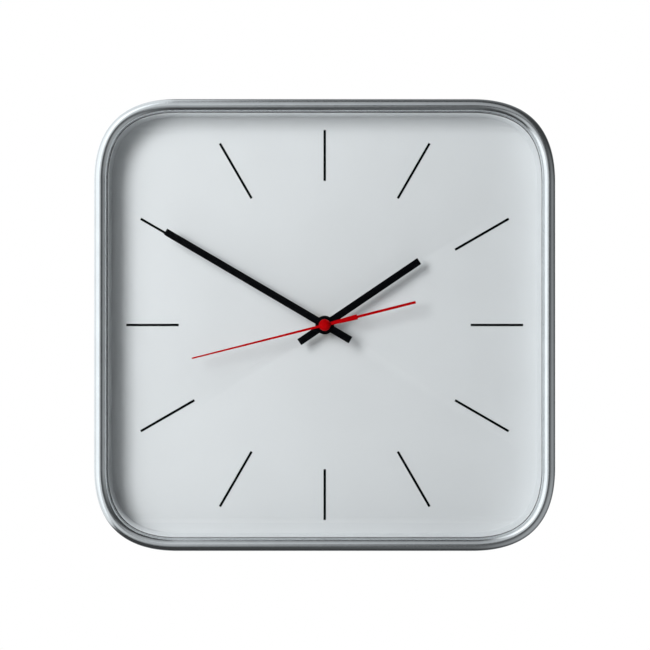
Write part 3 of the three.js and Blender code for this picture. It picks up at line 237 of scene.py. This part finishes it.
# Each material slot's kind, its colour as it looks on a screen, its range of roughness, and
# whatever else differs from its kind
FINISHES = {
    "rim_metal": {**SATIN_METAL, "colour": (0.86, 0.875, 0.885), "rough": (0.17, 0.25)},
    "seal": {**MOULDED, "colour": (0.09, 0.1, 0.11), "rough": (0.6, 0.8), "grain": 0.2 * MM},
    "ring_plastic": {
        **MOULDED,
        "colour": (0.95, 0.955, 0.96),
        "rough": (0.1, 0.13),
        "grain": 0.25 * MM,
        "height": 0.001 * MM,
        "mottle": 0.008,
        "Metallic": 0.85,
    },
    "mark_ink": {
        **PAINTED,
        "colour": (0.02, 0.03, 0.035),
        "rough": (0.6, 0.7),
        "Specular_IOR_Level": 0.05,
    },
    "shell_plastic": {**MOULDED, "colour": (0.17, 0.175, 0.18), "rough": (0.5, 0.68)},
    "steel": {**SATIN_METAL, "colour": (0.72, 0.73, 0.74), "rough": (0.28, 0.42)},
    "movement_plastic": {
        **MOULDED,
        "colour": (0.1, 0.1, 0.105),
        "rough": (0.38, 0.52),
        "grain": 0.3 * MM,
    },
    "brass": {**SATIN_METAL, "colour": (0.83, 0.69, 0.38), "rough": (0.22, 0.34)},
    "gear_plastic": {
        **MOULDED,
        "colour": (0.9, 0.89, 0.83),
        "rough": (0.35, 0.45),
        "grain": 0.2 * MM,
        "height": 0.004 * MM,
    },
    "magnet": {
        **MOULDED,
        "colour": (0.3, 0.29, 0.285),
        "rough": (0.45, 0.6),
        "grain": 0.15 * MM,
        "Metallic": 0.6,
    },
    "battery_jacket": {
        **PAINTED,
        "colour": (0.27, 0.31, 0.36),
        "rough": (0.28, 0.36),
        "Coat_Weight": 0.4,
    },
    "hand_black": {
        **PAINTED,
        "colour": (0.01, 0.012, 0.02),
        "rough": (0.5, 0.6),
        "Specular_IOR_Level": 0.05,
    },
    "signal_red": {
        **PAINTED,
        "colour": (0.69, 0.0, 0.02),
        "rough": (0.4, 0.5),
        "Specular_IOR_Level": 0.05,
    },
}


def make_camera():
    camera = bpy.data.objects.new("camera", bpy.data.cameras.new("camera"))
    camera.data.lens = CAMERA_LENS
    camera.location = CAMERA_PLACE
    camera.rotation_euler = (math.radians(90), 0, 0)
    bpy.context.scene.collection.objects.link(camera)
    bpy.context.scene.camera = camera


# Surfaces


def linear(colour):
    """The linear values of a colour given as it looks on a screen."""
    return [c / 12.92 if c <= 0.04045 else ((c + 0.055) / 1.055) ** 2.4 for c in colour] + [1.0]


class Graph:
    """A node tree and the steps that build it."""

    def __init__(self, tree):
        self.tree = tree

    def link(self, output, target):
        self.tree.links.new(output, target)

    def node(self, kind, **values):
        node = self.tree.nodes.new(kind)
        for label, value in values.items():
            node.inputs[label.replace("_", " ")].default_value = value
        return node

    def between(self, factor, low, high, start=0.35, end=0.65, smooth=False):
        """Values from low to high as the factor goes from start to end."""
        ramp = self.node("ShaderNodeMapRange", From_Min=start, From_Max=end, To_Min=low, To_Max=high)
        if smooth:
            ramp.interpolation_type = "SMOOTHSTEP"
        self.link(factor, ramp.inputs["Value"])
        return ramp.outputs["Result"]

    def maths(self, operation, first, second):
        node = self.node("ShaderNodeMath")
        node.operation = operation
        self.link(first, node.inputs[0])
        self.link(second, node.inputs[1])
        return node.outputs["Value"]

    def blended(self, factor, first, second):
        """The first shader where the factor is 0 and the second where it is 1."""
        blend = self.node("ShaderNodeMixShader")
        self.link(factor, blend.inputs["Fac"])
        self.link(first, blend.inputs[1])
        self.link(second, blend.inputs[2])
        return blend.outputs["Shader"]


class Surface(Graph):
    """One material: a Principled shader and the textures that feed it, in the object's own metres."""

    def __init__(self, name, **values):
        self.material = bpy.data.materials.new(name)
        self.material.use_nodes = True
        super().__init__(self.material.node_tree)
        self.shader = self.tree.nodes["Principled BSDF"]
        for label, value in values.items():
            self.shader.inputs[label.replace("_", " ")].default_value = value
        self.place = self.node("ShaderNodeTexCoord").outputs["Object"]

    def scaled(self, size):
        mapping = self.node("ShaderNodeMapping", Scale=(1 / size, 1 / size, 1 / size))
        self.link(self.place, mapping.inputs["Vector"])
        return mapping.outputs["Vector"]

    def noise(self, size, detail):
        """Noise whose features are about as large as the size."""
        texture = self.node("ShaderNodeTexNoise", Scale=1.0, Detail=detail)
        self.link(self.scaled(size), texture.inputs["Vector"])
        return texture.outputs["Fac"]

    def cells(self, size):
        texture = self.node("ShaderNodeTexVoronoi", Scale=1.0)
        self.link(self.scaled(size), texture.inputs["Vector"])
        return texture.outputs["Distance"]

    def mixed(self, factor, first, second):
        """A mix of two colours, each a list of values or another node's output."""
        mix = self.node("ShaderNodeMix")
        mix.data_type = "RGBA"
        self.link(factor, mix.inputs["Factor"])
        for socket, colour in ((mix.inputs[6], first), (mix.inputs[7], second)):
            if isinstance(colour, list):
                socket.default_value = colour
            else:
                self.link(colour, socket)
        return mix.outputs[2]

    def colour(self, output):
        self.link(output, self.shader.inputs["Base Color"])

    def tinted(self, colour, spread, factor):
        """A colour that varies by the spread, lighter and darker, with the factor."""
        low = linear([c * (1 - spread) for c in colour])
        high = linear([min(c * (1 + spread), 1) for c in colour])
        return self.mixed(self.between(factor, 0, 1), low, high)

    def rough(self, factor, low, high):
        self.link(self.between(factor, low, high), self.shader.inputs["Roughness"])

    def relief(self, factor, height, strength):
        bump = self.node("ShaderNodeBump", Strength=strength, Distance=height)
        self.link(factor, bump.inputs["Height"])
        self.link(bump.outputs["Normal"], self.shader.inputs["Normal"])


def finished(name, colour, rough, cloud, cloud_detail, mottle, grain, grain_detail, height, strength,
             **values):
    """A material with clouds in its colour, and with a fine grain in its gloss and relief."""
    surface = Surface(name, **values)
    clouds = surface.noise(cloud, cloud_detail)
    fine = surface.noise(grain, grain_detail)
    surface.colour(surface.tinted(colour, mottle, clouds))
    surface.rough(fine, *rough)
    surface.relief(fine, height, strength)
    return surface.material


def dial_surface():
    """Silver-white paint with a fine metallic grain."""
    silver, sparkle = (0.874, 0.884, 0.892), (0.96, 0.97, 0.98)
    sparkle_share = 0.06
    surface = Surface("dial_paint", Specular_IOR_Level=0.25)
    grain = surface.noise(0.3 * MM, detail=2)
    clouds = surface.noise(60 * MM, detail=2)
    base = surface.tinted(silver, spread=0.006, factor=clouds)
    surface.colour(surface.mixed(surface.between(grain, 0, sparkle_share), base, linear(sparkle)))
    surface.rough(grain, low=0.5, high=0.62)
    surface.relief(grain, height=0.003 * MM, strength=0.3)
    return surface.material


def glass_surface():
    """A clear pane: what is behind it shows through, under a gloss that grows with the slant."""
    glass_tint = (0.985, 0.99, 0.99, 1.0)
    least_gloss, most_gloss = 0.001, 0.4
    slant_start, slant_end = 0.45, 1.0
    surface = Surface("lens_glass")
    smear = surface.noise(40 * MM, detail=3)
    slant = surface.node("ShaderNodeLayerWeight").outputs["Facing"]
    share = surface.between(slant, least_gloss, most_gloss, slant_start, slant_end)
    clear = surface.node("ShaderNodeBsdfTransparent", Color=glass_tint)
    gloss = surface.node("ShaderNodeBsdfGlossy")
    surface.link(surface.between(smear, low=0.02, high=0.05), gloss.inputs["Roughness"])
    pane = surface.blended(share, clear.outputs["BSDF"], gloss.outputs["BSDF"])
    surface.link(pane, surface.tree.nodes["Material Output"].inputs["Surface"])
    surface.tree.nodes.remove(surface.shader)
    return surface.material


def ribbed_wire():
    """Enamelled wire, one fine turn beside the next along x, darker in the grooves between turns and
    lighter on their crests: painted shade and painted highlight.
    """
    surface = Surface("copper", Metallic=1.0)
    wave = surface.node("ShaderNodeTexWave", Scale=0.5, Distortion=0.0)
    surface.link(surface.scaled(0.12 * MM), wave.inputs["Vector"])
    ridge_height_and_shade = wave.outputs["Fac"]
    # painted shade in the grooves between turns and painted highlight on their crests, following the
    # relief
    surface.colour(surface.tinted((0.72, 0.4, 0.2), spread=0.12, factor=ridge_height_and_shade))
    surface.rough(ridge_height_and_shade, low=0.3, high=0.45)
    surface.relief(ridge_height_and_shade, height=0.03 * MM, strength=1.0)
    return surface.material


def board_surface():
    """Green lacquer over faint copper tracks."""
    track, lacquer = (0.16, 0.42, 0.24), (0.24, 0.52, 0.28)
    surface = Surface("board", Coat_Weight=0.3)
    cells = surface.cells(2.2 * MM)
    fine = surface.noise(0.6 * MM, detail=3)
    edges = surface.between(cells, 0, 1, start=0.5, end=0.6)
    surface.colour(surface.mixed(edges, linear(track), linear(lacquer)))
    surface.rough(fine, low=0.35, high=0.5)
    surface.relief(cells, height=0.02 * MM, strength=0.4)
    return surface.material


materials = {name: finished(name, **values) for name, values in FINISHES.items()}
materials["lens_glass"] = glass_surface()
materials["dial_paint"] = dial_surface()
materials["copper"] = ribbed_wire()
materials["board"] = board_surface()


# Meshes


def new_piece(name, mesh):
    piece = bpy.data.objects.new(name, mesh)
    bpy.context.scene.collection.objects.link(piece)
    return piece


def tidied(bm, name, sharp=SHARP_ANGLE):
    """A mesh from a bmesh: merged, faces outward, smooth but for its sharp edges."""
    bmesh.ops.remove_doubles(bm, verts=bm.verts, dist=MERGE)
    bmesh.ops.dissolve_degenerate(bm, edges=bm.edges, dist=NO_LENGTH)
    bmesh.ops.recalc_face_normals(bm, faces=bm.faces)
    mesh = bpy.data.meshes.new(name)
    bm.to_mesh(mesh)
    bm.free()
    mesh.shade_smooth()
    mesh.set_sharp_from_angle(angle=math.radians(sharp))
    return mesh


def evaluated_mesh(piece):
    """The mesh that a curve or a piece with modifiers comes to."""
    return bpy.data.meshes.new_from_object(piece.evaluated_get(bpy.context.evaluated_depsgraph_get()))


def at_depth(x, depth, z):
    """A point given by x and z from the hand axis and by its depth from the wall."""
    return Vector((x, -depth, z + AXIS_HEIGHT))


def depths(node):
    """How far a node's rear and front lie from the wall."""
    low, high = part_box(node)
    return -high.y, -low.y


def inset_of(node):
    """How far in from the side of the case a node starts."""
    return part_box(node)[0].x - case_low.x


def loops_mesh(name, loops, closed=True):
    """Quads between each loop of points and the next, and from the last to the first if closed."""
    bm = bmesh.new()
    rows = [[bm.verts.new(point) for point in loop] for loop in loops]
    nexts = rows[1:] + rows[:1] if closed else rows[1:]
    for near, far in zip(rows, nexts):
        for i, vertex in enumerate(near):
            j = (i + 1) % len(near)
            bm.faces.new((vertex, near[j], far[j], far[i]))
    return tidied(bm, name)


def corner_point(share, inset):
    """A point on one corner of the case, moved in from the outer edge by the inset."""
    handle = CORNER_REACH * (1 - CORNER_FULLNESS)
    a, b = Vector((0, CORNER_REACH)), Vector((0, handle))
    c, d = Vector((handle, 0)), Vector((CORNER_REACH, 0))
    rest = 1 - share
    point = a * rest**3 + b * 3 * rest**2 * share + c * 3 * rest * share**2 + d * share**3
    along = ((b - a) * rest**2 + (c - b) * 2 * rest * share + (d - c) * share**2).normalized()
    return point + inset * Vector((-along.y, along.x))


def in_corner(side_x, side_z, point):
    """A corner's point moved to the corner on the given sides of the hand axis."""
    return (side_x * (CASE_WIDTH / 2 - point.x), side_z * (CASE_HEIGHT / 2 - point.y))


def case_outline(inset):
    quarter = [corner_point(i / CORNER_STEPS, inset) for i in range(CORNER_STEPS + 1)]
    points = []
    for side_x, side_z, corner in ((-1, -1, quarter), (1, -1, quarter[::-1]),
                                   (1, 1, quarter), (-1, 1, quarter[::-1])):
        points += [in_corner(side_x, side_z, point) for point in corner]
    return points


def case_corners(inset):
    middle = corner_point(0.5, inset)
    return [in_corner(side_x, side_z, middle) for side_x, side_z in ((-1, -1), (1, -1), (1, 1), (-1, 1))]


def band(name, profile):
    """Sweeps a closed profile of (inset, depth) points round the case."""
    loops = [[at_depth(x, depth, z) for x, z in case_outline(inset)] for inset, depth in profile]
    return new_piece(name, loops_mesh(name, loops))


def arc(centre, radii, start, end, steps):
    """Points of an ellipse from one angle to another, in degrees."""
    angles = [math.radians(start + (end - start) * i / steps) for i in range(steps + 1)]
    return [(centre[0] + radii[0] * math.cos(a), centre[1] + radii[1] * math.sin(a)) for a in angles]


def circle(radius, centre=(0, 0), steps=64):
    return arc(centre, (radius, radius), 0, 360 * (steps - 1) / steps, steps - 1)


def lathe(name, profile, steps, place=(0, 0)):
    """Revolves (radius, depth) points round an axis that runs from the wall to the room."""
    loops = []
    for radius, depth in profile:
        loops.append([at_depth(x, depth, z) for x, z in circle(radius, place, steps)])
    return new_piece(name, loops_mesh(name, loops, closed=False))


def plate(name, outlines, rear, front, edge=0.0, steps=2):
    """A flat plate with rounded edges. The first outline is its outer edge and the rest are holes."""
    curve = bpy.data.curves.new(name, "CURVE")
    curve.dimensions = "2D"
    curve.fill_mode = "BOTH"
    curve.extrude = (front - rear) / 2 - edge
    curve.bevel_depth = edge
    curve.offset = -edge
    curve.bevel_resolution = steps
    for outline in outlines:
        spline = curve.splines.new("POLY")
        spline.points.add(len(outline) - 1)
        for point, (x, z) in zip(spline.points, outline):
            point.co = (x, z, 0, 1)
        spline.use_cyclic_u = True
    drawn = new_piece(name, curve)
    shape = evaluated_mesh(drawn)
    bpy.data.objects.remove(drawn)
    bpy.data.curves.remove(curve)
    shape.transform(Matrix.Rotation(math.radians(90), 4, "X"))
    shape.transform(Matrix.Translation((0, -(rear + front) / 2, AXIS_HEIGHT)))
    bm = bmesh.new()
    bm.from_mesh(shape)
    bpy.data.meshes.remove(shape)
    return new_piece(name, tidied(bm, name, PLATE_SHARP_ANGLE))


def joined(name, *parts):
    """One piece from several."""
    bm = bmesh.new()
    for part in parts:
        bm.from_mesh(part.data)
        mesh = part.data
        bpy.data.objects.remove(part)
        bpy.data.meshes.remove(mesh)
    return new_piece(name, tidied(bm, name))


def turned_to(piece, degrees):
    """Turns a piece clockwise about the hand axis, as seen from the front."""
    centre = Matrix.Translation((0, 0, AXIS_HEIGHT))
    piece.data.transform(centre @ Matrix.Rotation(math.radians(degrees), 4, "Y") @ centre.inverted())
    return piece


def stands_for(piece, node, slot=None):
    """Puts a piece in a node's place, on its body and in its material slot unless another is given."""
    slot = slot or slot_of[node]
    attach(piece, body_of[node])
    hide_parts(node)
    piece.data.materials.clear()
    piece.data.materials.append(materials[slot])


def dressed(edge, *nodes):
    """The nodes' own shapes with merged faces and softened edges."""
    for node in nodes:
        bm = bmesh.new()
        bm.from_mesh(frame["nodes"][node].data)
        bmesh.ops.remove_doubles(bm, verts=bm.verts, dist=MERGE_BEFORE)
        bmesh.ops.dissolve_limit(bm, angle_limit=math.radians(FLAT_ANGLE), verts=bm.verts, edges=bm.edges)
        piece = new_piece(node + "_dressed", tidied(bm, node, DRESSED_SHARP_ANGLE))
        bevel = piece.modifiers.new("edges", "BEVEL")
        bevel.width = edge
        bevel.segments = 2
        bevel.limit_method = "ANGLE"
        bevel.angle_limit = math.radians(SOFTENED_ANGLE)
        softened = evaluated_mesh(piece)
        piece.modifiers.clear()
        bm = bmesh.new()
        bm.from_mesh(softened)
        bmesh.ops.remove_doubles(bm, verts=bm.verts, dist=MERGE_AFTER)
        piece.data = tidied(bm, node, DRESSED_SHARP_ANGLE)
        stands_for(piece, node)


# Case and dial


def make_bezel():
    """The rolled rim: rear edge, side and bead, the lip inside it, and the sheet's inner side."""
    end = math.radians(BEAD_INNER_END)
    outer_radii = (BEAD_OUTER_WIDTH, BEAD_OUTER_RISE)
    inner_radii = (BEAD_INNER_WIDTH / math.cos(end), BEAD_INNER_RISE / (1 - math.sin(end)))
    outer_centre = (BEAD_OUTER_WIDTH, CASE_DEPTH - outer_radii[1])
    inner_centre = (BEAD_OUTER_WIDTH, CASE_DEPTH - inner_radii[1])
    lip_front = CASE_DEPTH - BEAD_INNER_RISE
    lip_back = lip_front - LIP_THICKNESS
    lip_centre = (LIP_INSET - LIP_EDGE, lip_front - LIP_FALL - LIP_EDGE)
    profile = [
        *arc((REAR_EDGE, REAR_EDGE), (REAR_EDGE, REAR_EDGE), 270, 180, EDGE_STEPS),
        *arc(outer_centre, outer_radii, 180, 90, BEAD_OUTER_STEPS),
        *arc(inner_centre, inner_radii, 90, BEAD_INNER_END, BEAD_INNER_STEPS)[1:],
        *arc(lip_centre, (LIP_EDGE, LIP_EDGE), LIP_EDGE_START, 0, EDGE_STEPS),
        (LIP_INSET, lip_back),
        (BEAD_OUTER_WIDTH + BEAD_INNER_WIDTH - METAL, lip_back),
        (BEAD_OUTER_WIDTH, CASE_DEPTH - METAL),
        (METAL, lip_back),
        (METAL, METAL),
        (FLANGE_WIDTH, METAL),
        (FLANGE_WIDTH, 0),
    ]
    stands_for(band("rim", profile), "bezel_frame")


def make_gasket():
    """A flat strip behind the lip, whose round inner edge shows beside it."""
    rear, front = depths("lens_gasket")
    inset = inset_of("lens_gasket")
    round_edge = (front - rear) / 2
    centre = (LIP_INSET + GASKET_SHOW - round_edge, (rear + front) / 2)
    profile = [
        (inset, rear),
        (inset, front),
        (LIP_INSET, front),
        *arc(centre, (round_edge, round_edge), 90, -90, GASKET_STEPS),
    ]
    stands_for(band("gasket", profile), "lens_gasket")


def make_lens():
    outline = case_outline(inset_of("lens"))
    stands_for(plate("pane", [outline], *depths("lens"), edge=LENS_EDGE), "lens")


def make_ring():
    """The wall round the dial, with a boss for each case screw."""
    rear, front = depths("dial_ring")
    dial_front = depths("dial")[1]
    inset = inset_of("dial_ring")
    land_back = front - RING_WALL
    fillet_centre = (RING_TOP_INSET - RING_FILLET, front - RING_FILLET)
    profile = [
        (inset, rear),
        (inset, front),
        *arc(fillet_centre, (RING_FILLET, RING_FILLET), 90, 0, RING_FILLET_STEPS),
        (RING_INSET, dial_front),
        (RING_INSET - RING_WALL, dial_front),
        (RING_INSET - RING_WALL, land_back),
        (inset + RING_WALL, land_back),
        (inset + RING_WALL, rear),
    ]
    parts = [band("ring", profile)]
    for place in case_corners(CASE_SCREW_INSET):
        boss = circle(BOSS_RADIUS, place, steps=24)
        parts.append(plate("boss", [boss], dial_front, front - RING_WALL / 2))
    stands_for(joined("reflector", *parts), "dial_ring")


def make_dial():
    """The sheet, with a hole for each case screw and one for the bushing."""
    outlines = [case_outline(inset_of("dial"))]
    outlines += [circle(DIAL_SCREW_HOLE, place, steps=24) for place in case_corners(CASE_SCREW_INSET)]
    outlines.append(circle(DIAL_BUSHING_HOLE))
    stands_for(plate("dial_sheet", outlines, *depths("dial"), edge=DIAL_EDGE), "dial")


def make_marks():
    """Printed lines, each on a radius of the dial."""
    half = MARK_WIDTH / 2
    for hour in range(1, HOURS + 1):
        node = f"hour_mark_{hour:02}"
        points = [vertex.co for vertex in frame["nodes"][node].data.vertices]
        reach = [math.hypot(point.x, point.z - AXIS_HEIGHT) for point in points]
        start, end = min(reach), max(reach)
        bar = [(-half, start), (half, start), (half, end), (-half, end)]
        mark = plate(node + "_fine", [bar], *depths(node), edge=MARK_EDGE)
        stands_for(turned_to(mark, 360 / HOURS * hour), node)


# Hands


def hand_outline(tail_width, tail, root_width, tip_width, length, boss):
    """The outline of a hand that points to twelve: tail, round boss and blade."""
    tail_meet = math.degrees(math.acos(tail_width / 2 / boss))
    root_meet = math.degrees(math.acos(root_width / 2 / boss))
    right = arc((0, 0), (boss, boss), -tail_meet, root_meet, steps=24)
    left = arc((0, 0), (boss, boss), 180 - root_meet, 180 + tail_meet, steps=24)
    return [
        (-tail_width / 2, -tail),
        (tail_width / 2, -tail),
        *right,
        (tip_width / 2, length),
        (-tip_width / 2, length),
        *left,
    ]


def make_hand(node, outline, bore, angle):
    """A blade with a hole, and the collar that presses onto its tube."""
    start, end = depths(node)
    rear = start + COLLAR_BEHIND
    hole = circle(bore, steps=40)
    blade = plate("blade", [outline, hole], rear, rear + BLADE_THICKNESS, edge=BLADE_EDGE)
    radius = bore + COLLAR_WALL
    profile = [
        (bore, start),
        (radius - COLLAR_EDGE, start),
        (radius, start + COLLAR_EDGE),
        (radius, end - COLLAR_EDGE),
        (radius - COLLAR_EDGE, end),
        (bore, end),
        (bore, start),
    ]
    collar = lathe("collar", profile, steps=48)
    stands_for(turned_to(joined(node + "_fine", blade, collar), angle), node)


def make_hands():
    make_hand("hour_hand", hand_outline(**HOUR_OUTLINE), HOUR_BORE, HOUR_ANGLE)
    make_hand("minute_hand", hand_outline(**MINUTE_OUTLINE), MINUTE_BORE, MINUTE_ANGLE)
    rear = depths("seconds_hand")[0]
    outlines = [hand_outline(**SECONDS_OUTLINE), circle(RED_BORE, steps=24)]
    pointer = plate("pointer", outlines, rear, rear + RED_THICKNESS, edge=RED_EDGE)
    stands_for(turned_to(pointer, SECONDS_ANGLE), "seconds_hand")
    end_half, start_half = WEIGHT_END_WIDTH / 2, WEIGHT_START_WIDTH / 2
    bar = [(-end_half, -WEIGHT_END), (end_half, -WEIGHT_END), (start_half, -WEIGHT_START),
           (-start_half, -WEIGHT_START)]
    weight = plate("weight", [bar], *depths("seconds_counterweight"), edge=RED_EDGE)
    stands_for(turned_to(weight, SECONDS_ANGLE), "seconds_counterweight")


def make_cap():
    """A domed cap with a blind bore."""
    low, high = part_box("seconds_cap")
    seat, top = depths("seconds_cap")
    radius = (high.x - low.x) / 2
    skirt = 0.6 * MM
    soft = 0.1 * MM
    bore_end = seat + 0.9 * MM
    profile = [
        (RED_BORE, seat),
        (radius - soft, seat),
        *arc((0, seat + skirt), (radius, top - seat - skirt), 0, 90, steps=20),
        (0, bore_end),
        (RED_BORE, bore_end),
        (RED_BORE, seat),
    ]
    stands_for(lathe("cap", profile, steps=72), "seconds_cap")


# Rear and movement


def cross_outline(place, reach, half):
    """A cross of four arms, for a screwdriver."""
    quarter = [(reach, -half), (reach, half), (half, half)]
    points = []
    for turn in range(4):
        spin = Matrix.Rotation(math.radians(90 * turn), 2)
        points += [tuple(spin @ Vector(point)) for point in quarter]
    return [(x + place[0], z + place[1]) for x, z in points]


def make_screw(node):
    """A pan head with a cross, and a threaded core that closes the cross from behind."""
    low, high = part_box(node)
    rear, front = depths(node)
    place = ((low.x + high.x) / 2, (low.z + high.z) / 2 - AXIS_HEIGHT)
    head = (high.x - low.x) / 2
    head_edge = 0.35 * MM
    cross_reach = 1.5 * MM
    cross_half = 0.3 * MM
    cross_floor = rear + 0.9 * MM
    seat = rear + 1.5 * MM
    shank = 0.9 * MM
    root = 0.72 * shank
    inside_head = 0.8 * head
    pitch = 1 * MM
    run_in = 0.3 * MM
    rise = 0.3 * pitch
    outlines = [circle(head, place, steps=48), cross_outline(place, cross_reach, cross_half)]
    pan = plate("pan", outlines, rear, seat, edge=head_edge, steps=3)
    threads = []
    for turn in range(int((front - seat - 2 * shank) / pitch)):
        start = seat + run_in + turn * pitch
        threads += [(root, start), (shank, start + rise), (root, start + 2 * rise)]
    profile = [
        (0, cross_floor),
        (inside_head, cross_floor),
        (inside_head, seat),
        (root, seat),
        *threads,
        (0, front),
    ]
    core = lathe("core", profile, steps=24, place=place)
    stands_for(joined(node + "_fine", pan, core), node)


def make_bushing():
    """A flanged tube, threaded in front of the dial."""
    low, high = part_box("threaded_bushing")
    rear, front = depths("threaded_bushing")
    dial_front = depths("dial")[1]
    flange = (high.x - low.x) / 2
    seat = rear + 1 * MM
    bore = 2.75 * MM
    radius = 3.9 * MM
    depth = 0.25 * MM
    pitch = 0.5 * MM
    end_edge = 0.4 * MM
    threads = []
    for turn in range(int((front - dial_front) / pitch) - 1):
        start = dial_front + turn * pitch
        threads += [(radius - depth, start), (radius, start + pitch / 2)]
    profile = [
        (bore, rear),
        (flange, rear),
        (flange, seat),
        (radius, seat),
        *threads,
        (radius - end_edge, front),
        (bore, front),
        (bore, rear),
    ]
    stands_for(lathe("bushing", profile, steps=48), "threaded_bushing")


def make_battery():
    """A steel can with its nub, and the jacket wrapped round it."""
    low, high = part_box("battery_cell")
    radius = (high.z - low.z) / 2
    centre = Vector((0, (low.y + high.y) / 2, (low.z + high.z) / 2))
    start, end = low.x, high.x
    soft = 0.7 * MM
    sleeve = 0.15 * MM
    overlap = 0.02 * MM
    fold = 0.4 * soft
    edge = 0.3 * MM
    dent = 4.5 * MM
    nub = 2.75 * MM
    nub_rim = nub + 0.9 * MM
    inner = radius - sleeve
    buried = inner - overlap
    shoulder = end - 1.3 * MM

    def along(name, profile, closed=False):
        """Revolves (radius, x) points round the cell's axis."""
        loops = [[centre + Vector((x, y, z)) for y, z in circle(r)] for r, x in profile]
        return new_piece(name, loops_mesh(name, loops, closed))

    can = along("can", [
        (0, start + edge),
        (dent, start + edge),
        (dent + edge, start),
        (inner - soft, start),
        (inner, start + soft),
        (inner, shoulder - soft),
        (inner - soft, shoulder),
        (nub_rim + edge, shoulder),
        (nub_rim, shoulder - edge),
        (nub, shoulder - edge),
        (nub, end - edge),
        (nub - edge, end),
        (0, end),
    ])
    stands_for(can, "battery_cell", slot="steel")
    jacket = along("jacket", [
        (buried - soft + fold, start + fold),
        (radius - soft + fold, start + fold),
        (radius, start + soft),
        (radius, shoulder - soft),
        (radius - soft + fold, shoulder - fold),
        (buried - soft + fold, shoulder - fold),
        (buried, shoulder - soft),
        (buried, start + soft),
    ], closed=True)
    stands_for(jacket, "battery_cell")


def make_rear():
    for node in ("case_screw_1", "case_screw_2", "case_screw_3", "case_screw_4", "hanger_screw_1",
                 "hanger_screw_2"):
        make_screw(node)
    make_bushing()
    make_battery()
    dressed(SHELL_EDGE, "back_shell")
    dressed(HANGER_EDGE, "hanger_plate")
    dressed(MOVEMENT_EDGE, "movement_base", "movement_cover", "setting_knob")
    dressed(SMALL_EDGE, "train_bridge", "bushing_washer", "hex_nut", "stator", "coil_core", "coil_bobbin",
            "coil_winding", "circuit_board", "quartz_crystal", "battery_contact_positive",
            "battery_contact_negative")
    dressed(WHEEL_EDGE, "rotor", "fifth_wheel", "seconds_wheel", "third_wheel", "centre_wheel",
            "cannon_pinion", "minute_wheel", "hour_wheel")


# Studio


def make_floor():
    """A pale floor far below the clock, out of the camera's view."""
    corners = [(-FLOOR_HALF_WIDTH, FLOOR_NEAR), (FLOOR_HALF_WIDTH, FLOOR_NEAR),
               (FLOOR_HALF_WIDTH, FLOOR_FAR), (-FLOOR_HALF_WIDTH, FLOOR_FAR)]
    bm = bmesh.new()
    bm.faces.new([bm.verts.new((x, y, FLOOR_HEIGHT)) for x, y in corners])
    floor = new_piece("floor", tidied(bm, "floor"))
    surface = Surface("floor_paint", Emission_Color=WHITE)
    clouds = surface.noise(FLOOR_CLOUD, detail=2)
    surface.colour(surface.tinted(FLOOR_COLOUR, spread=0.01, factor=clouds))
    surface.rough(clouds, low=0.7, high=0.8)
    seen = surface.node("ShaderNodeLightPath").outputs["Is Camera Ray"]
    lift = surface.between(seen, 0.0, FLOOR_WHITENESS, 0.0, 1.0)
    surface.link(lift, surface.shader.inputs["Emission Strength"])
    floor.data.materials.append(surface.material)
    floor.visible_glossy = False


def make_world():
    """White behind the clock, and a dim studio with bright cards for everything else."""
    world = bpy.data.worlds.new("studio")
    world.use_nodes = True
    graph = Graph(world.node_tree)
    graph.tree.nodes.clear()
    direction = graph.node("ShaderNodeTexCoord").outputs["Generated"]
    level = graph.node("ShaderNodeValue").outputs["Value"]
    level.default_value = STUDIO_DIM
    for card in CARDS:
        facing = graph.node("ShaderNodeVectorMath")
        facing.operation = "DOT_PRODUCT"
        facing.inputs[1].default_value = Vector(card["toward"]).normalized()
        graph.link(direction, facing.inputs[0])
        glow = graph.between(facing.outputs["Value"], 0.0, card["strength"], card["starts"], card["full"],
                             smooth=True)
        level = graph.maths("ADD", glow, level)
    ray = graph.node("ShaderNodeLightPath").outputs
    share = graph.between(ray["Is Diffuse Ray"], 1.0, DIFFUSE_SHARE, 0.0, 1.0)
    studio = graph.node("ShaderNodeBackground", Color=STUDIO_TINT)
    graph.link(graph.maths("MULTIPLY", level, share), studio.inputs["Strength"])
    white = graph.node("ShaderNodeBackground", Color=WHITE)
    seen = graph.maths("MAXIMUM", ray["Is Camera Ray"], ray["Is Transmission Ray"])
    sky = graph.blended(seen, studio.outputs["Background"], white.outputs["Background"])
    graph.link(sky, graph.node("ShaderNodeOutputWorld").inputs["Surface"])
    bpy.context.scene.world = world


def make_softbox(name, offset, width, height, power):
    """A rectangular lamp, x, depth and z away from the hand axis at the wall and turned towards it."""
    lamp = bpy.data.lights.new(name, "AREA")
    lamp.shape = "RECTANGLE"
    lamp.size = width
    lamp.size_y = height
    lamp.energy = power
    box = new_piece(name, lamp)
    box.location = at_depth(*offset)
    box.rotation_euler = Vector((-offset[0], offset[1], -offset[2])).to_track_quat("-Z", "Y").to_euler()
    box.visible_camera = False
    box.visible_glossy = False


make_camera()
make_world()
make_floor()
for softbox in SOFTBOXES:
    make_softbox(**softbox)
make_bezel()
make_gasket()
make_lens()
make_ring()
make_dial()
make_marks()
make_hands()
make_cap()
make_rear()

bpy.context.scene.view_settings.view_transform = "Standard"
